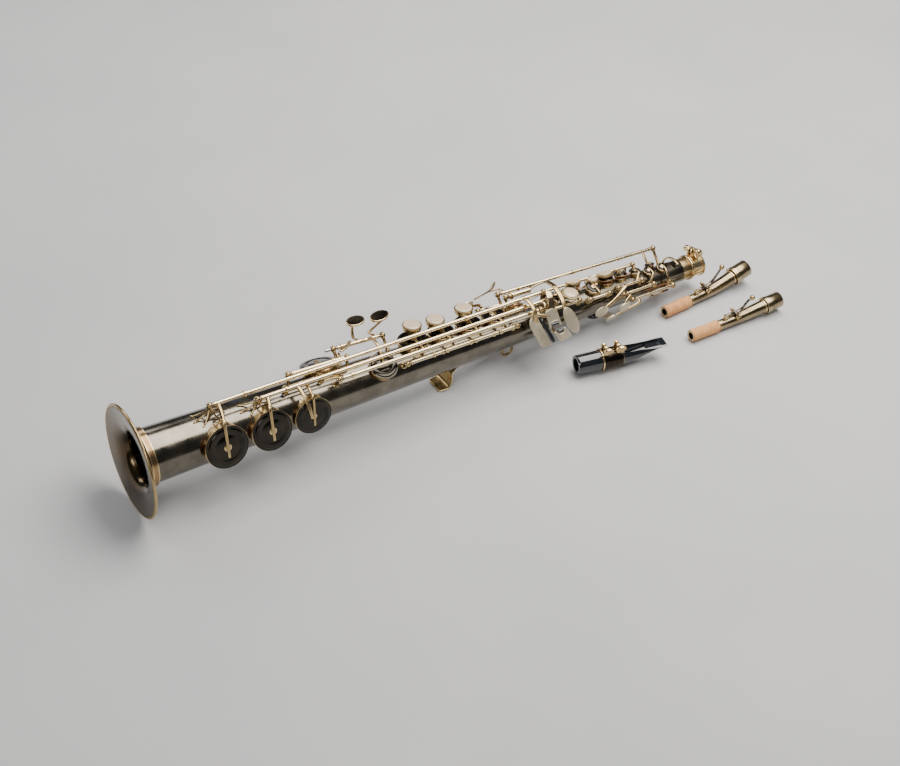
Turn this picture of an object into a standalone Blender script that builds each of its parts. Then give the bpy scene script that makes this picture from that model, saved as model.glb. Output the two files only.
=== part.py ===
"""Straight soprano saxophone, laid out with two necks and a mouthpiece.

The horn is built in its own frame, in millimetres: x runs from the bell rim to
the receiver, z points out of the front where the finger pearls are, and y to
the player's right. An angle is counted from the front towards the player's
left. One empty then lays the horn on the floor on its bell rim and thumb hook.
Necks and mouthpiece lie beside it on empties of their own.
"""
import math

import bmesh
import bpy
from mathutils import Matrix, Vector

MM = 0.001
GAP = 0.3

# Horn
LENGTH = 560.0
TOP_RADIUS = 9.6
TAPER = 0.0235
WALL = 0.8
BELL_RADIUS = 47.0
BELL_END = 10.5
TUBE_END = 536.0
ROD = 1.7
BALL = 2.7

# How the horn lies: rolled to its right, bell rim and thumb hook on the floor
ROLL = 15.0
PITCH = 2.47
LIFT = 46.96

# Three long bell-key rods
ROD1_R, ROD1_PHI = 33.0, 22.5
ROD2_R, ROD2_PHI = 30.5, 35.5
ROD3_R, ROD3_PHI = 30.5, 48.0

# Left little-finger table: a plane at this angle and distance from the axis
TABLE_PHI, TABLE_H = 70.0, 32.0
PLATE = 1.6

# Tone holes: axial place, angle, cup radius, how far the key stands open (degrees)
HOLES = {
    "bb": (69.5, 95.0, 18.2, 5.0),
    "b": (109.0, 95.0, 17.4, 5.0),
    "cs": (147.0, 98.0, 16.2, 0.0),
    "c": (171.0, -20.0, 15.6, 11.0),
    "eb": (218.0, 44.0, 12.4, 0.0),
    "d": (254.0, 5.0, 13.4, 6.0),
    "e": (281.0, 5.0, 12.0, 6.0),
    "f": (308.0, 5.0, 11.8, 6.0),
    "fs": (333.5, 5.0, 11.0, 6.0),
    "gs": (361.5, -38.0, 9.2, 0.0),
    "g": (392.5, 8.0, 8.8, 6.0),
    "a": (421.0, -14.0, 7.6, 6.0),
    "bis": (437.5, 20.0, 7.4, 4.0),
    "b2": (454.5, 2.0, 7.6, 6.0),
    "c2": (471.0, 2.0, 6.4, 6.0),
    "pd": (487.0, 4.0, 5.6, 0.0),
    "pe": (499.5, 24.0, 5.2, 0.0),
    "pf": (514.0, 28.0, 4.8, 0.0),
    "se": (507.0, -14.0, 4.8, 0.0),
    "sc": (443.0, -85.0, 7.2, 0.0),
    "sb": (402.0, -72.0, 8.2, 0.0),
    "hf": (489.0, -84.0, 5.4, 0.0),
    "vent": (516.0, 150.0, 3.6, 0.0),
}
CHIMNEY = 1.9
CUP_T = 2.2


def tube_r(u):
    return TOP_RADIUS + (LENGTH - u) * TAPER


def at(u, r, phi):
    a = math.radians(phi)
    return Vector((u, -r * math.sin(a), r * math.cos(a)))


def radial(phi):
    return at(0.0, 1.0, phi)


def tangent(phi):
    """Unit vector along growing angle."""
    a = math.radians(phi)
    return Vector((0.0, -math.cos(a), -math.sin(a)))


def chimney_h(key):
    return tube_r(HOLES[key][0]) + CHIMNEY


def cup_h(key):
    """Distance of a closed cup's underside from the axis."""
    return chimney_h(key) + GAP


# ---------------------------------------------------------------- solids
def lathe(profile, origin, axis, sides, loop=False, phase=0.0):
    """Revolve (radius, height) pairs about an axis through origin."""
    axis = Vector(axis).normalized()
    ref = Vector((1, 0, 0)) if abs(axis.x) < 0.9 else Vector((0, 0, 1))
    e1 = (ref - axis * ref.dot(axis)).normalized()
    e2 = axis.cross(e1)
    verts, rings = [], []
    for radius, height in profile:
        centre = Vector(origin) + axis * height
        if radius < 1e-6:
            rings.append([len(verts)])
            verts.append(centre)
            continue
        ring = []
        for k in range(sides):
            t = 2 * math.pi * (k + phase) / sides
            ring.append(len(verts))
            verts.append(centre + e1 * (radius * math.cos(t)) + e2 * (radius * math.sin(t)))
        rings.append(ring)
    faces = []
    pairs = list(zip(rings, rings[1:]))
    if loop:
        pairs.append((rings[-1], rings[0]))
    for low, high in pairs:
        for k in range(sides):
            n = (k + 1) % sides
            if len(low) == 1:
                faces.append((low[0], high[k], high[n]))
            elif len(high) == 1:
                faces.append((low[k], high[0], low[n]))
            else:
                faces.append((low[k], high[k], high[n], low[n]))
    return verts, faces


def cylinder(p, q, radius, sides=10):
    p, q = Vector(p), Vector(q)
    length = (q - p).length
    return lathe([(0, 0), (radius, 0), (radius, length), (0, length)], p, q - p, sides)


def ball(p, radius, sides=10, rows=5):
    profile = []
    for k in range(rows + 1):
        t = math.pi * k / rows
        profile.append((radius * math.sin(t) if 0 < k < rows else 0.0, -radius * math.cos(t)))
    return lathe(profile, p, (0, 0, 1), sides)


def sweep(points, width, thick, up=None, sides=6, round_ends=True):
    """Closed bar along points: width across, thick along up (or outwards)."""
    pts = [Vector(p) for p in points]
    count = len(pts)
    verts, faces = [], []
    for i, p in enumerate(pts):
        a = pts[max(i - 1, 0)]
        b = pts[min(i + 1, count - 1)]
        t = (b - a).normalized()
        out = Vector(up) if up is not None else Vector((0, p.y, p.z)).normalized()
        n = (out - t * out.dot(t)).normalized()
        s = t.cross(n)
        w = width[i] if isinstance(width, (list, tuple)) else width
        h = thick[i] if isinstance(thick, (list, tuple)) else thick
        for k in range(sides):
            q = 2 * math.pi * (k + 0.5) / sides
            verts.append(p + s * (0.5 * w * math.cos(q)) + n * (0.5 * h * math.sin(q)))
    for i in range(count - 1):
        for k in range(sides):
            m = (k + 1) % sides
            a, b = i * sides, (i + 1) * sides
            faces.append((a + k, a + m, b + m, b + k))
    faces.append(tuple(reversed(range(sides))))
    faces.append(tuple(range((count - 1) * sides, count * sides)))
    return verts, faces


def arc(u0, r0, phi0, u1, r1, phi1, steps=5, bulge=0.0):
    """Points from one place round the body to another."""
    pts = []
    for k in range(steps + 1):
        t = k / steps
        r = r0 + (r1 - r0) * t + bulge * math.sin(math.pi * t)
        pts.append(at(u0 + (u1 - u0) * t, r, phi0 + (phi1 - phi0) * t))
    return pts


def prism(outline, origin, ex, ey, thick, inset=0.0):
    """Plate from a 2-D outline in the plane (ex, ey), grown along ex x ey."""
    ex, ey = Vector(ex).normalized(), Vector(ey).normalized()
    n = ex.cross(ey)
    cx = sum(p[0] for p in outline) / len(outline)
    cy = sum(p[1] for p in outline) / len(outline)
    layers = [(0.0, 1.0), (thick, 1.0)]
    if inset:
        layers = [(0.0, 1.0), (thick * 0.6, 1.0), (thick, 1.0 - inset)]
    verts, faces = [], []
    size = len(outline)
    for height, scale in layers:
        for x, y in outline:
            px = cx + (x - cx) * scale
            py = cy + (y - cy) * scale
            verts.append(Vector(origin) + ex * px + ey * py + n * height)
    for layer in range(len(layers) - 1):
        a, b = layer * size, (layer + 1) * size
        for k in range(size):
            m = (k + 1) % size
            faces.append((a + k, a + m, b + m, b + k))
    faces.append(tuple(reversed(range(size))))
    faces.append(tuple(range((len(layers) - 1) * size, len(layers) * size)))
    return verts, faces


def ellipse(cx, cy, rx, ry, tilt=0.0, count=14):
    pts = []
    c, s = math.cos(math.radians(tilt)), math.sin(math.radians(tilt))
    for k in range(count):
        t = 2 * math.pi * k / count
        x, y = rx * math.cos(t), ry * math.sin(t)
        pts.append((cx + x * c - y * s, cy + x * s + y * c))
    return pts


def table_plate(outline, thick=PLATE, lift=0.0, inset=0.0):
    """Plate in the table plane; outline in (axial, towards the front)."""
    n = radial(TABLE_PHI)
    return prism(outline, n * (TABLE_H - thick + lift), (1, 0, 0), -tangent(TABLE_PHI), thick, inset)


def on_table(u, t, h=0.0):
    return radial(TABLE_PHI) * (TABLE_H + h) - tangent(TABLE_PHI) * t + Vector((u, 0, 0))


def turned(solids, line, degrees):
    """Solids turned about a rod line (two points)."""
    p, q = Vector(line[0]), Vector(line[1])
    rot = Matrix.Rotation(math.radians(degrees), 3, (q - p).normalized())
    return [([p + rot @ (v - p) for v in verts], faces) for verts, faces in solids]


def polar(v):
    """Distance from the axis and angle of a point."""
    return math.hypot(v.y, v.z), math.degrees(math.atan2(-v.y, v.z))


def cup_arm(key, u0, r0, phi0, reach=0.45, width=3.4, thick=1.7):
    """Curved arm from a rod, over the edge of a closed cup, to its middle."""
    u, phi, radius, _ = HOLES[key]
    top = cup_h(key) + CUP_T
    side = 1.0 if phi > phi0 else -1.0
    t = tangent(phi) * side
    n = radial(phi)
    near = Vector((u, 0, 0)) + n * (top + 0.5) - t * radius * 0.7
    far = Vector((u, 0, 0)) + n * (top + 0.3) + t * radius * reach
    edge_r, edge_phi = polar(n * (top + 0.5) - t * radius)
    near_r, near_phi = polar(near)
    if r0 < edge_r + 1.5 and (phi0 - edge_phi) * side < 0:
        pts = arc(u0, r0, phi0, u, edge_r, edge_phi, 3)
    else:
        pts = arc(u0, r0, phi0, u, near_r, near_phi, 4)
    return sweep(pts + [far], width, thick)


def rod(u0, u1, r0, phi0, r1=None, phi1=None, radius=ROD, sides=8):
    r1 = r0 if r1 is None else r1
    phi1 = phi0 if phi1 is None else phi1
    return cylinder(at(u0, r0, phi0), at(u1, r1, phi1), radius, sides)


def collar(u, r, phi, radius=2.5, length=2.4):
    return cylinder(at(u - length / 2, r, phi), at(u + length / 2, r, phi), radius, 8)


def sides_for(radius):
    return 16 if radius > 15 else 12 if radius > 10 else 10 if radius > 6.5 else 8


def cup(key):
    """Pad cup of a key, with a low step round its top."""
    u, phi, radius, _ = HOLES[key]
    sides = sides_for(radius)
    h = cup_h(key)
    profile = [(0, 0), (radius, 0), (radius, CUP_T * 0.7), (radius * 0.84, CUP_T), (0, CUP_T)]
    return lathe(profile, at(u, h, phi), radial(phi), sides)


def pearl_seat(u, r_base, r_top, phi, radius, tilt=0.0, sides=14, deep=1.6):
    """Holder that carries a finger pearl, as an open dish."""
    axis = radial(phi + tilt)
    base = at(u, r_top, phi) - axis * 3.0
    foot = base - axis * (r_top - 3.0 - r_base)
    dish = lathe([(0, -deep), (radius * 0.94, -deep), (radius, 1.2), (radius - 0.7, 1.2),
                  (radius - 0.7, 0.0), (0, 0.0)], base, axis, sides)
    return [dish, cylinder(foot, base - axis * 0.4, 2.4, 6)]


def pearl(u, r_top, phi, radius, tilt=0.0, sides=14):
    axis = radial(phi + tilt)
    base = at(u, r_top, phi) - axis * 3.0
    rr = radius - 0.7 - GAP
    return lathe([(0, GAP), (rr, GAP), (rr, 1.8), (rr * 0.75, 2.5), (0, 2.7)], base, axis, sides)


# ---------------------------------------------------------------- objects
def make_material(name, colour, metallic, roughness):
    mat = bpy.data.materials.new(name)
    mat.use_nodes = True
    shader = mat.node_tree.nodes["Principled BSDF"]
    shader.inputs["Base Color"].default_value = (*colour, 1.0)
    shader.inputs["Metallic"].default_value = metallic
    shader.inputs["Roughness"].default_value = roughness
    mat.diffuse_color = (*colour, 1.0)
    return mat


def raw_object(name, solid, offset):
    verts, faces = solid
    mesh = bpy.data.meshes.new(name)
    mesh.from_pydata([tuple((v - offset) * MM) for v in verts], [], faces)
    obj = bpy.data.objects.new(name, mesh)
    bpy.context.collection.objects.link(obj)
    bm = bmesh.new()
    bm.from_mesh(mesh)
    bmesh.ops.recalc_face_normals(bm, faces=bm.faces)
    if bm.calc_volume(signed=True) < 0:
        bmesh.ops.reverse_faces(bm, faces=bm.faces)
    bm.to_mesh(mesh)
    bm.free()
    return obj


def merged(solids):
    """Several solids as one vertex and face list."""
    verts, faces = [], []
    for v, f in solids:
        base = len(verts)
        verts += v
        faces += [tuple(i + base for i in face) for face in f]
    return verts, faces


def boolean(obj, other, operation, use_self=False):
    mod = obj.modifiers.new("Boolean", "BOOLEAN")
    mod.operation = operation
    mod.solver = "EXACT"
    mod.use_self = use_self
    mod.object = other
    deps = bpy.context.evaluated_depsgraph_get()
    result = bpy.data.meshes.new_from_object(obj.evaluated_get(deps))
    obj.modifiers.clear()
    old = obj.data
    obj.data = result
    bpy.data.meshes.remove(old)
    mesh = other.data
    bpy.data.objects.remove(other)
    bpy.data.meshes.remove(mesh)


def make_part(name, solids, mat, pivot=(0, 0, 0), parent=None, cuts=(), angle=40.0, together=False):
    """One node: its solids joined into one body, its origin on pivot."""
    offset = Vector(pivot)
    obj = raw_object(name, solids[0], offset)
    adds, cuts = list(solids[1:]), list(cuts)
    if together:
        adds, cuts = [merged(adds)], [merged(cuts)]
    for i, solid in enumerate(adds):
        boolean(obj, raw_object(f"{name}_add{i}", solid, offset), "UNION", together)
    for i, solid in enumerate(cuts):
        boolean(obj, raw_object(f"{name}_cut{i}", solid, offset), "DIFFERENCE", together)
    bm = bmesh.new()
    bm.from_mesh(obj.data)
    bmesh.ops.remove_doubles(bm, verts=bm.verts, dist=0.000002)
    bmesh.ops.dissolve_limit(bm, angle_limit=math.radians(0.5), verts=bm.verts, edges=bm.edges)
    bmesh.ops.triangulate(bm, faces=bm.faces)
    for face in bm.faces:
        face.smooth = True
    for edge in bm.edges:
        if len(edge.link_faces) == 2:
            edge.smooth = edge.calc_face_angle() < math.radians(angle)
    bm.to_mesh(obj.data)
    bm.free()
    obj.data.name = name
    obj.data.materials.clear()
    obj.data.materials.append(mat)
    obj.location = offset * MM
    obj.parent = parent
    return obj


def clear_scene():
    for obj in list(bpy.data.objects):
        bpy.data.objects.remove(obj)


def empty(name, location, matrix=None):
    obj = bpy.data.objects.new(name, None)
    bpy.context.collection.objects.link(obj)
    if matrix is not None:
        obj.matrix_world = matrix
    else:
        obj.location = location
    return obj


def horn_matrix():
    turn = Matrix.Rotation(math.radians(PITCH), 4, "Y") @ Matrix.Rotation(math.radians(-ROLL), 4, "X")
    return Matrix.Translation((-LENGTH / 2 * MM, 0, LIFT * MM)) @ turn


# ---------------------------------------------------------------- body
# Posts: axial place, rod distance, angle
POSTS = [
    (66.0, ROD1_R, ROD1_PHI), (379.2, ROD1_R, ROD1_PHI),
    (103.5, ROD2_R, ROD2_PHI), (379.2, ROD2_R, ROD2_PHI),
    (173.5, ROD3_R, ROD3_PHI), (369.0, ROD3_R, ROD3_PHI),
    (137.0, 31.0, 11.0), (190.5, 28.8, 11.0),
    (189.4, 32.3, -30.0), (235.2, 30.2, -30.0),
    (236.5, 25.0, 59.5), (346.0, 22.7, 59.5),
    (352.5, 28.0, -12.0),
]


def line_of(key):
    """The two ends of a key's rod."""
    u0, u1, r0, phi0, r1, phi1 = RODS[key]
    return at(u0, r0, phi0), at(u1, r1, phi1)


# Key rods: from, to, distance and angle at each end
RODS = {
    "low_bb_key": (69.0, 376.2, 33.0, 22.5, 33.0, 22.5),
    "low_b_key": (106.5, 376.2, 30.5, 35.5, 30.5, 35.5),
    "low_cs_lever": (176.5, 366.0, 30.5, 48.0, 30.5, 48.0),
    "low_cs_key": (134.0, 160.0, 25.6, 27.0, 25.2, 27.0),
    "low_c_key": (140.0, 187.5, 30.9, 11.0, 28.9, 11.0),
    "low_c_lever": (192.5, 216.3, 32.1, -30.0, 31.0, -30.0),
    "low_eb_key": (216.9, 232.0, 30.9, -30.0, 30.3, -30.0),
    "d_key": (239.5, 272.4, 24.9, 59.5, 24.3, 59.5),
    "e_key": (273.0, 300.7, 24.2, 59.5, 23.7, 59.5),
    "f_key": (301.3, 326.7, 23.6, 59.5, 23.2, 59.5),
    "fs_key": (327.3, 343.0, 23.1, 59.5, 22.8, 59.5),
    "gs_lever": (355.5, 378.0, 28.0, -12.0, 27.4, -12.0),
    "gs_key": (346.0, 376.0, 20.5, -71.0, 20.5, -71.0),
    "g_key": (389.0, 413.0, 18.6, 50.0, 18.0, 50.0),
    "bis_key": (430.0, 445.0, 17.2, 58.0, 17.0, 58.0),
    "a_key": (414.0, 430.0, 17.8, -48.0, 17.6, -48.0),
    "b_key": (447.0, 457.2, 17.2, -48.0, 17.0, -48.0),
    "c_key": (463.6, 479.0, 16.8, -48.0, 16.4, -48.0),
    "palm_d_key": (462.0, 482.0, 17.0, 52.0, 16.6, 52.0),
    "palm_eb_key": (466.0, 494.0, 15.4, 78.0, 15.2, 78.0),
    "palm_f_key": (476.0, 516.0, 15.6, 108.0, 15.2, 108.0),
    "side_e_key": (354.0, 516.0, 31.5, -30.0, 26.4, -30.0),
    "side_c_key": (352.0, 450.0, 24.5, -98.0, 22.0, -112.0),
    "side_bb_key": (338.0, 408.0, 26.0, -120.0, 20.4, -120.0),
    "high_fs_key": (338.0, 494.0, 28.0, -62.0, 20.0, -52.0),
    "octave_lever": (449.0, 512.0, 17.5, -150.0, 16.6, -150.0),
}


def post(u, r, phi):
    base = tube_r(u) - 0.6
    high = r - base
    return [lathe([(0, 0), (1.5, 0), (1.3, high - 2.4), (BALL, high), (1.8, high + 2.0), (0, high + BALL)],
                  at(u, base, phi), radial(phi), 6)]


def end_posts(name, first=True, last=True):
    """Posts just clear of a rod's two ends."""
    u0, u1, r0, phi0, r1, phi1 = RODS[name]
    solids = []
    if first:
        solids += post(u0 - 3.1, r0, phi0)
    if last:
        solids += post(u1 + 3.1, r1, phi1)
    return solids


def key_rod(name, sides=8, radius=ROD):
    u0, u1, r0, phi0, r1, phi1 = RODS[name]
    return rod(u0, u1, r0, phi0, r1, phi1, radius, sides)


def rod_point(name, u):
    u0, u1, r0, phi0, r1, phi1 = RODS[name]
    t = (u - u0) / (u1 - u0)
    return u, r0 + (r1 - r0) * t, phi0 + (phi1 - phi0) * t


def key_sign(name, key):
    """Turn about the rod, bell to top, that closes a cup."""
    return 1.0 if HOLES[key][1] > RODS[name][3] else -1.0


def opened(name, key, solids):
    return turned(solids, line_of(name), -key_sign(name, key) * HOLES[key][3])


def build_body(mats):
    n = 28
    outer = lathe([(0, 0), (tube_r(BELL_END + GAP), 0), (tube_r(TUBE_END), TUBE_END - BELL_END - GAP),
                   (0, TUBE_END - BELL_END - GAP)], (BELL_END + GAP, 0, 0), (1, 0, 0), n, phase=0.23)
    solids = [outer]
    for key, (u, phi, radius, _) in HOLES.items():
        top = chimney_h(key)
        sides = sides_for(radius)
        wide = radius - 1.2
        low = math.sqrt(max(tube_r(u) ** 2 - wide ** 2, 4.0)) - 1.5
        solids.append(lathe([(0, low), (wide, low), (wide, top), (0, top)],
                            (u, 0, 0), radial(phi), sides))
    for place in POSTS:
        solids += post(*place)
    solids.append(rod(182.0, 189.4, 32.6, -30.0, 32.3, -30.0, 1.3, 6))
    for name in ("low_cs_key", "gs_key", "g_key", "a_key", "bis_key", "c_key", "palm_d_key",
                 "palm_eb_key", "palm_f_key", "side_e_key", "side_c_key", "side_bb_key",
                 "high_fs_key", "octave_lever"):
        solids += end_posts(name)
    solids += end_posts("b_key", last=False)
    bore = lathe([(0, -1), (tube_r(BELL_END) - WALL + TAPER, -1),
                  (tube_r(TUBE_END) - WALL - TAPER, TUBE_END - BELL_END + 1),
                  (0, TUBE_END - BELL_END + 1)], (BELL_END, 0, 0), (1, 0, 0), n, phase=0.23)
    cuts = [bore]
    for key, (u, phi, radius, _) in HOLES.items():
        sides = sides_for(radius)
        hole = radius - 2.6
        cuts.append(lathe([(0, 2), (hole, 2), (hole, chimney_h(key) + 2), (0, chimney_h(key) + 2)],
                          (u, 0, 0), radial(phi), sides, phase=0.37))
    return make_part("body_tube", solids, mats["tube"], cuts=cuts, together=True)


def build_bell(mats):
    outer = [(tube_r(0) + 1.1, 14.5), (tube_r(0) + 1.1, 9.0), (23.3, 8.6), (24.6, 6.8),
             (27.6, 4.9), (32.4, 3.3), (38.4, 2.2), (44.6, 1.6)]
    rim = [(46.4, 2.3), (47.0, 1.2), (46.4, 0.0), (44.6, -0.2)]
    seat = tube_r(BELL_END) + GAP
    inner = [(38.0, 0.7), (31.6, 1.8), (26.6, 3.4), (23.4, 5.4), (21.9, 7.8), (21.4, 9.8),
             (21.3, BELL_END - 0.2), (seat, BELL_END), (seat, 14.5)]
    profile = outer + rim + inner
    return make_part("bell", [lathe(profile, (0, 0, 0), (1, 0, 0), 30, loop=True)], mats["tube"])


def build_receiver(mats):
    r0 = tube_r(TUBE_END)
    start = TUBE_END + GAP
    profile = [(r0 - WALL, 0), (r0 + 0.2, 0), (r0 + 0.2, 9.0), (r0 + 1.5, 9.4), (r0 + 1.5, 11.4),
               (r0 + 0.4, 11.8), (r0 + 0.4, 22.4), (r0 + 1.2, 22.8), (r0 + 1.2, 24.4),
               (r0 - 1.6, 24.4), (r0 - 1.6, 8.0), (r0 - WALL, 6.0)]
    sleeve = lathe(profile, (start, 0, 0), (1, 0, 0), 22, loop=True)
    solids = [sleeve]
    ear = [(-3.6, 0), (3.6, 0), (3.6, 6.6), (0, 8.6), (-3.6, 6.6)]
    for y in (-1.0, 3.5):
        solids.append(prism(ear, (start + 18.0, y, r0 - 0.6), (1, 0, 0), (0, 0, 1), 2.5))
    slot = prism([(-8.6, 0), (8.6, 0), (8.6, 14), (-8.6, 14)],
                 Vector((start + 19.0, 0.8, r0 - 4.0)), (1, 0, 0), (0, 0, 1), 1.6)
    hole = cylinder((start + 18.0, -9, r0 + 4.4), (start + 18.0, 9, r0 + 4.4), 1.9, 10)
    return make_part("receiver", solids, mats["gold"], cuts=[slot, hole])


def build_fittings(mats, horn):
    start = TUBE_END + GAP + 18.0
    h = tube_r(TUBE_END) + 4.4
    screw = [cylinder((start, 9.6, h), (start, 3.8, h), 3.0, 12),
             cylinder((start, 5.0, h), (start, -6.0, h), 1.5, 10),
             lathe([(0, 0), (1.9, 0), (1.9, 1.6), (3.4, 2.2), (3.8, 3.2), (3.8, 6.4), (3.0, 7.2), (0, 7.2)],
                   (start, -3.8, h), (0, -1, 0), 16)]
    make_part("clamp_screw", screw, mats["gold"], (start, 0, h), horn)

    down = 195.0
    u = 290.0
    r = tube_r(u)
    path = [(u + 14, r + 1.2), (u + 4, r + 1.6), (u - 1, r + 5), (u - 2, r + 11), (u - 4.5, r + 16.5),
            (u - 9, 34.2), (u - 14, 34.4)]
    hook = sweep([at(p, q, down) for p, q in path], [9, 12, 16, 20, 20, 20, 20], 1.8, None, 4)
    foot = sweep([at(u + 16, r + 1.2, down), at(u + 3, r + 1.2, down)], 10, 1.8, None, 4)
    make_part("thumb_hook", [hook, foot], mats["gold"], at(u, r, down), horn)

    u = 350.0
    r = tube_r(u)
    loop = lathe([(5.4 + 1.2 * math.cos(2 * math.pi * k / 6), 1.2 * math.sin(2 * math.pi * k / 6))
                  for k in range(6)], at(u, r + 7.6, down), tangent(down), 14, loop=True)
    stem = cylinder(at(u, r + GAP, down), at(u, r + 2.8, down), 2.6, 8)
    make_part("strap_ring", [loop, stem], mats["gold"], at(u, r, down), horn)

    u = 440.0
    r = tube_r(u)
    rest = lathe([(0, GAP), (6.0, GAP), (6.6, 1.6), (6.2, 3.4), (0, 4.0)], at(u, r, 180), radial(180), 14)
    make_part("thumb_rest", [rest], mats["black"], at(u, r, 180), horn)


# Outlines of the table plates: axial, towards the front
BB_PLATE = [(353.0, 1.0), (354.4, 5.0), (358.4, 8.2), (361.8, 8.9), (367.9, -20.4),
            (358.4, -19.8), (355.0, -8.0)]
CS_PLATE = [(370.6, 8.6), (378.4, 10.6), (382.3, 7.0), (383.6, -5.8), (381.6, -6.0), (381.4, -1.6),
            (373.4, -1.6), (373.0, -6.4), (371.2, -6.4)]
B_PLATE = [(374.2, -10.6), (376.2, -10.4), (377.4, -14.2), (384.6, -13.4), (384.4, -9.8), (386.4, -9.6),
           (388.0, -13.0), (390.6, -18.6), (378.4, -20.2)]


def build_bell_keys(mats, horn):
    name = "low_bb_key"
    solids = [key_rod(name), collar(96.0, 33.0, 22.5), collar(300.0, 33.0, 22.5),
              cup_arm("bb", 73.0, 33.0, 22.5), cup("bb")]
    link = [at(358.5, 33.0, 22.5), at(358.6, 35.2, 28), at(359.0, 35.8, 38), at(359.4, 35.4, 48),
            at(359.8, 33.6, 55), on_table(360.0, 2.0, -3.4)]
    solids += [sweep(link, 4.0, 1.8), table_plate(BB_PLATE, PLATE, -2.6, 0.06)]
    make_part(name, opened(name, "bb", solids), mats["gold"], line_of(name)[0], horn)

    name = "low_b_key"
    solids = [key_rod(name), collar(129.0, 30.5, 35.5), cup_arm("b", 112.0, 30.5, 35.5), cup("b")]
    lug = arc(138.5, 30.5, 35.5, 142.0, 28.0, 92.0, 5, 0.8)
    link = [at(373.5, 30.5, 35.5), at(373.5, 32.6, 42), at(373.5, 31.2, 50), at(373.5, 28.0, 56),
            on_table(374.4, 4.0, -6.4), on_table(376.0, -8.0, -6.8), on_table(380.0, -15.6, -5.6),
            on_table(381.7, -17.5, -3.5)]
    solids += [sweep(lug, 3.4, 1.7), sweep(link, 2.8, 1.8), table_plate(B_PLATE, PLATE, -2.6)]
    make_part(name, opened(name, "b", solids), mats["gold"], line_of(name)[0], horn)

    name = "low_cs_lever"
    solids = [key_rod(name), collar(185.0, 30.5, 48.0)]
    finger = [at(180.0, 30.5, 48.0), at(179.5, 27.0, 44.0), at(173.0, 26.4, 39.0), at(162.5, 26.9, 38.0)]
    link = [at(363.6, 30.5, 48.0), at(364.2, 31.4, 52.5), on_table(367.2, 6.6, -1.0),
            on_table(374.0, 4.6, -0.9)]
    strip = [on_table(378.2, 8.6, -1.0), at(378.5, 34.4, 47), at(379.2, 36.6, 38), at(380.2, 37.4, 30)]
    solids += [sweep(finger, 3.0, 1.6), sweep(link, 3.0, 1.6), table_plate(CS_PLATE)]
    solids.append(sweep(strip, 6.0, 1.8, None, 4))
    make_part(name, solids, mats["gold"], line_of(name)[0], horn)

    name = "low_cs_key"
    solids = [key_rod(name, 8, 1.5), cup_arm("cs", 148.0, 25.6, 27.0, 0.5, 2.6, 1.5), cup("cs")]
    make_part(name, solids, mats["gold"], line_of(name)[0], horn)


def build_front_levers(mats, horn):
    name = "low_c_key"
    solids = [key_rod(name), collar(178.0, 29.4, 11.0),
              cup_arm("c", 160.0, 30.1, 11.0, 0.36, 3.2, 1.6), cup("c")]
    tail = arc(184.0, 29.1, 11.0, 186.0, 29.4, -2.0, 2)
    solids.append(sweep(tail, 3.0, 1.6))
    make_part(name, opened(name, "c", solids), mats["gold"], line_of(name)[0], horn)

    n, right = radial(10.0), -tangent(10.0)
    leaves = {"low_c_lever": (217.0, 32.0, 8.6, 6.8, 12.0), "low_eb_key": (237.6, 28.0, 9.6, 6.6, 20.0)}
    for name, (u, t, rx, ry, tilt) in leaves.items():
        shift = -4.0 if name == "low_c_lever" else 4.0
        leaf = prism(ellipse(0, 0, rx, ry, tilt), n * 35.2 + right * t + Vector((u, 0, 0)),
                     (1, 0, 0), right, 1.9, 0.12)
        uc = 213.8 if name == "low_c_lever" else 229.4
        _, r, phi = rod_point(name, uc)
        crank = [at(uc, r, phi), at(uc - 1.5, r + 3.4, phi - 5), at(uc - 3.0, r + 6.0, phi - 4),
                 n * 34.6 + right * (t - 2.0) + Vector((u + shift, 0, 0)),
                 n * 35.6 + right * t + Vector((u, 0, 0))]
        solids = [key_rod(name), sweep(crank, 2.8, 1.8, tangent(-32.0)), leaf]
        if name == "low_c_lever":
            solids += [collar(197.0, rod_point(name, 197.0)[1], -30.0)]
            arm = [at(204.0, 31.6, -30.0), at(203.0, 34.0, -22), at(200.0, 34.4, -10), at(194.0, 33.4, -2),
                   at(187.5, 33.0, 3)]
            solids += [sweep(arm, 3.0, 1.7)]
        else:
            arm = [at(222.0, 30.7, -30.0), at(221.6, 31.0, -18), at(221.0, 29.2, 0), at(220.0, 26.6, 14),
                   at(219.0, 24.8, 26), at(218.4, 23.6, 36), at(218.0, 22.4, 46)]
            solids += [sweep(arm, 3.0, 1.7), cup("eb")]
        make_part(name, solids, mats["gold"], line_of(name)[0], horn)


# Finger pearls: key, axial place, distance of the top, angle, radius, tilt
PEARLS = {
    "d": (256.0, 33.6, -4.0, 8.2, 10.0),
    "e": (278.5, 31.4, -4.0, 8.2, 10.0),
    "f": (307.5, 32.6, -6.0, 8.2, 10.0),
    "g": (408.5, 24.4, 27.0, 7.4, -14.0),
    "bis": (440.5, 20.8, -2.0, 5.4, 2.0),
    "a": (423.5, 22.4, -12.0, 7.2, 8.0),
    "b2": (454.0, 22.0, 2.0, 7.2, -4.0),
}


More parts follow.
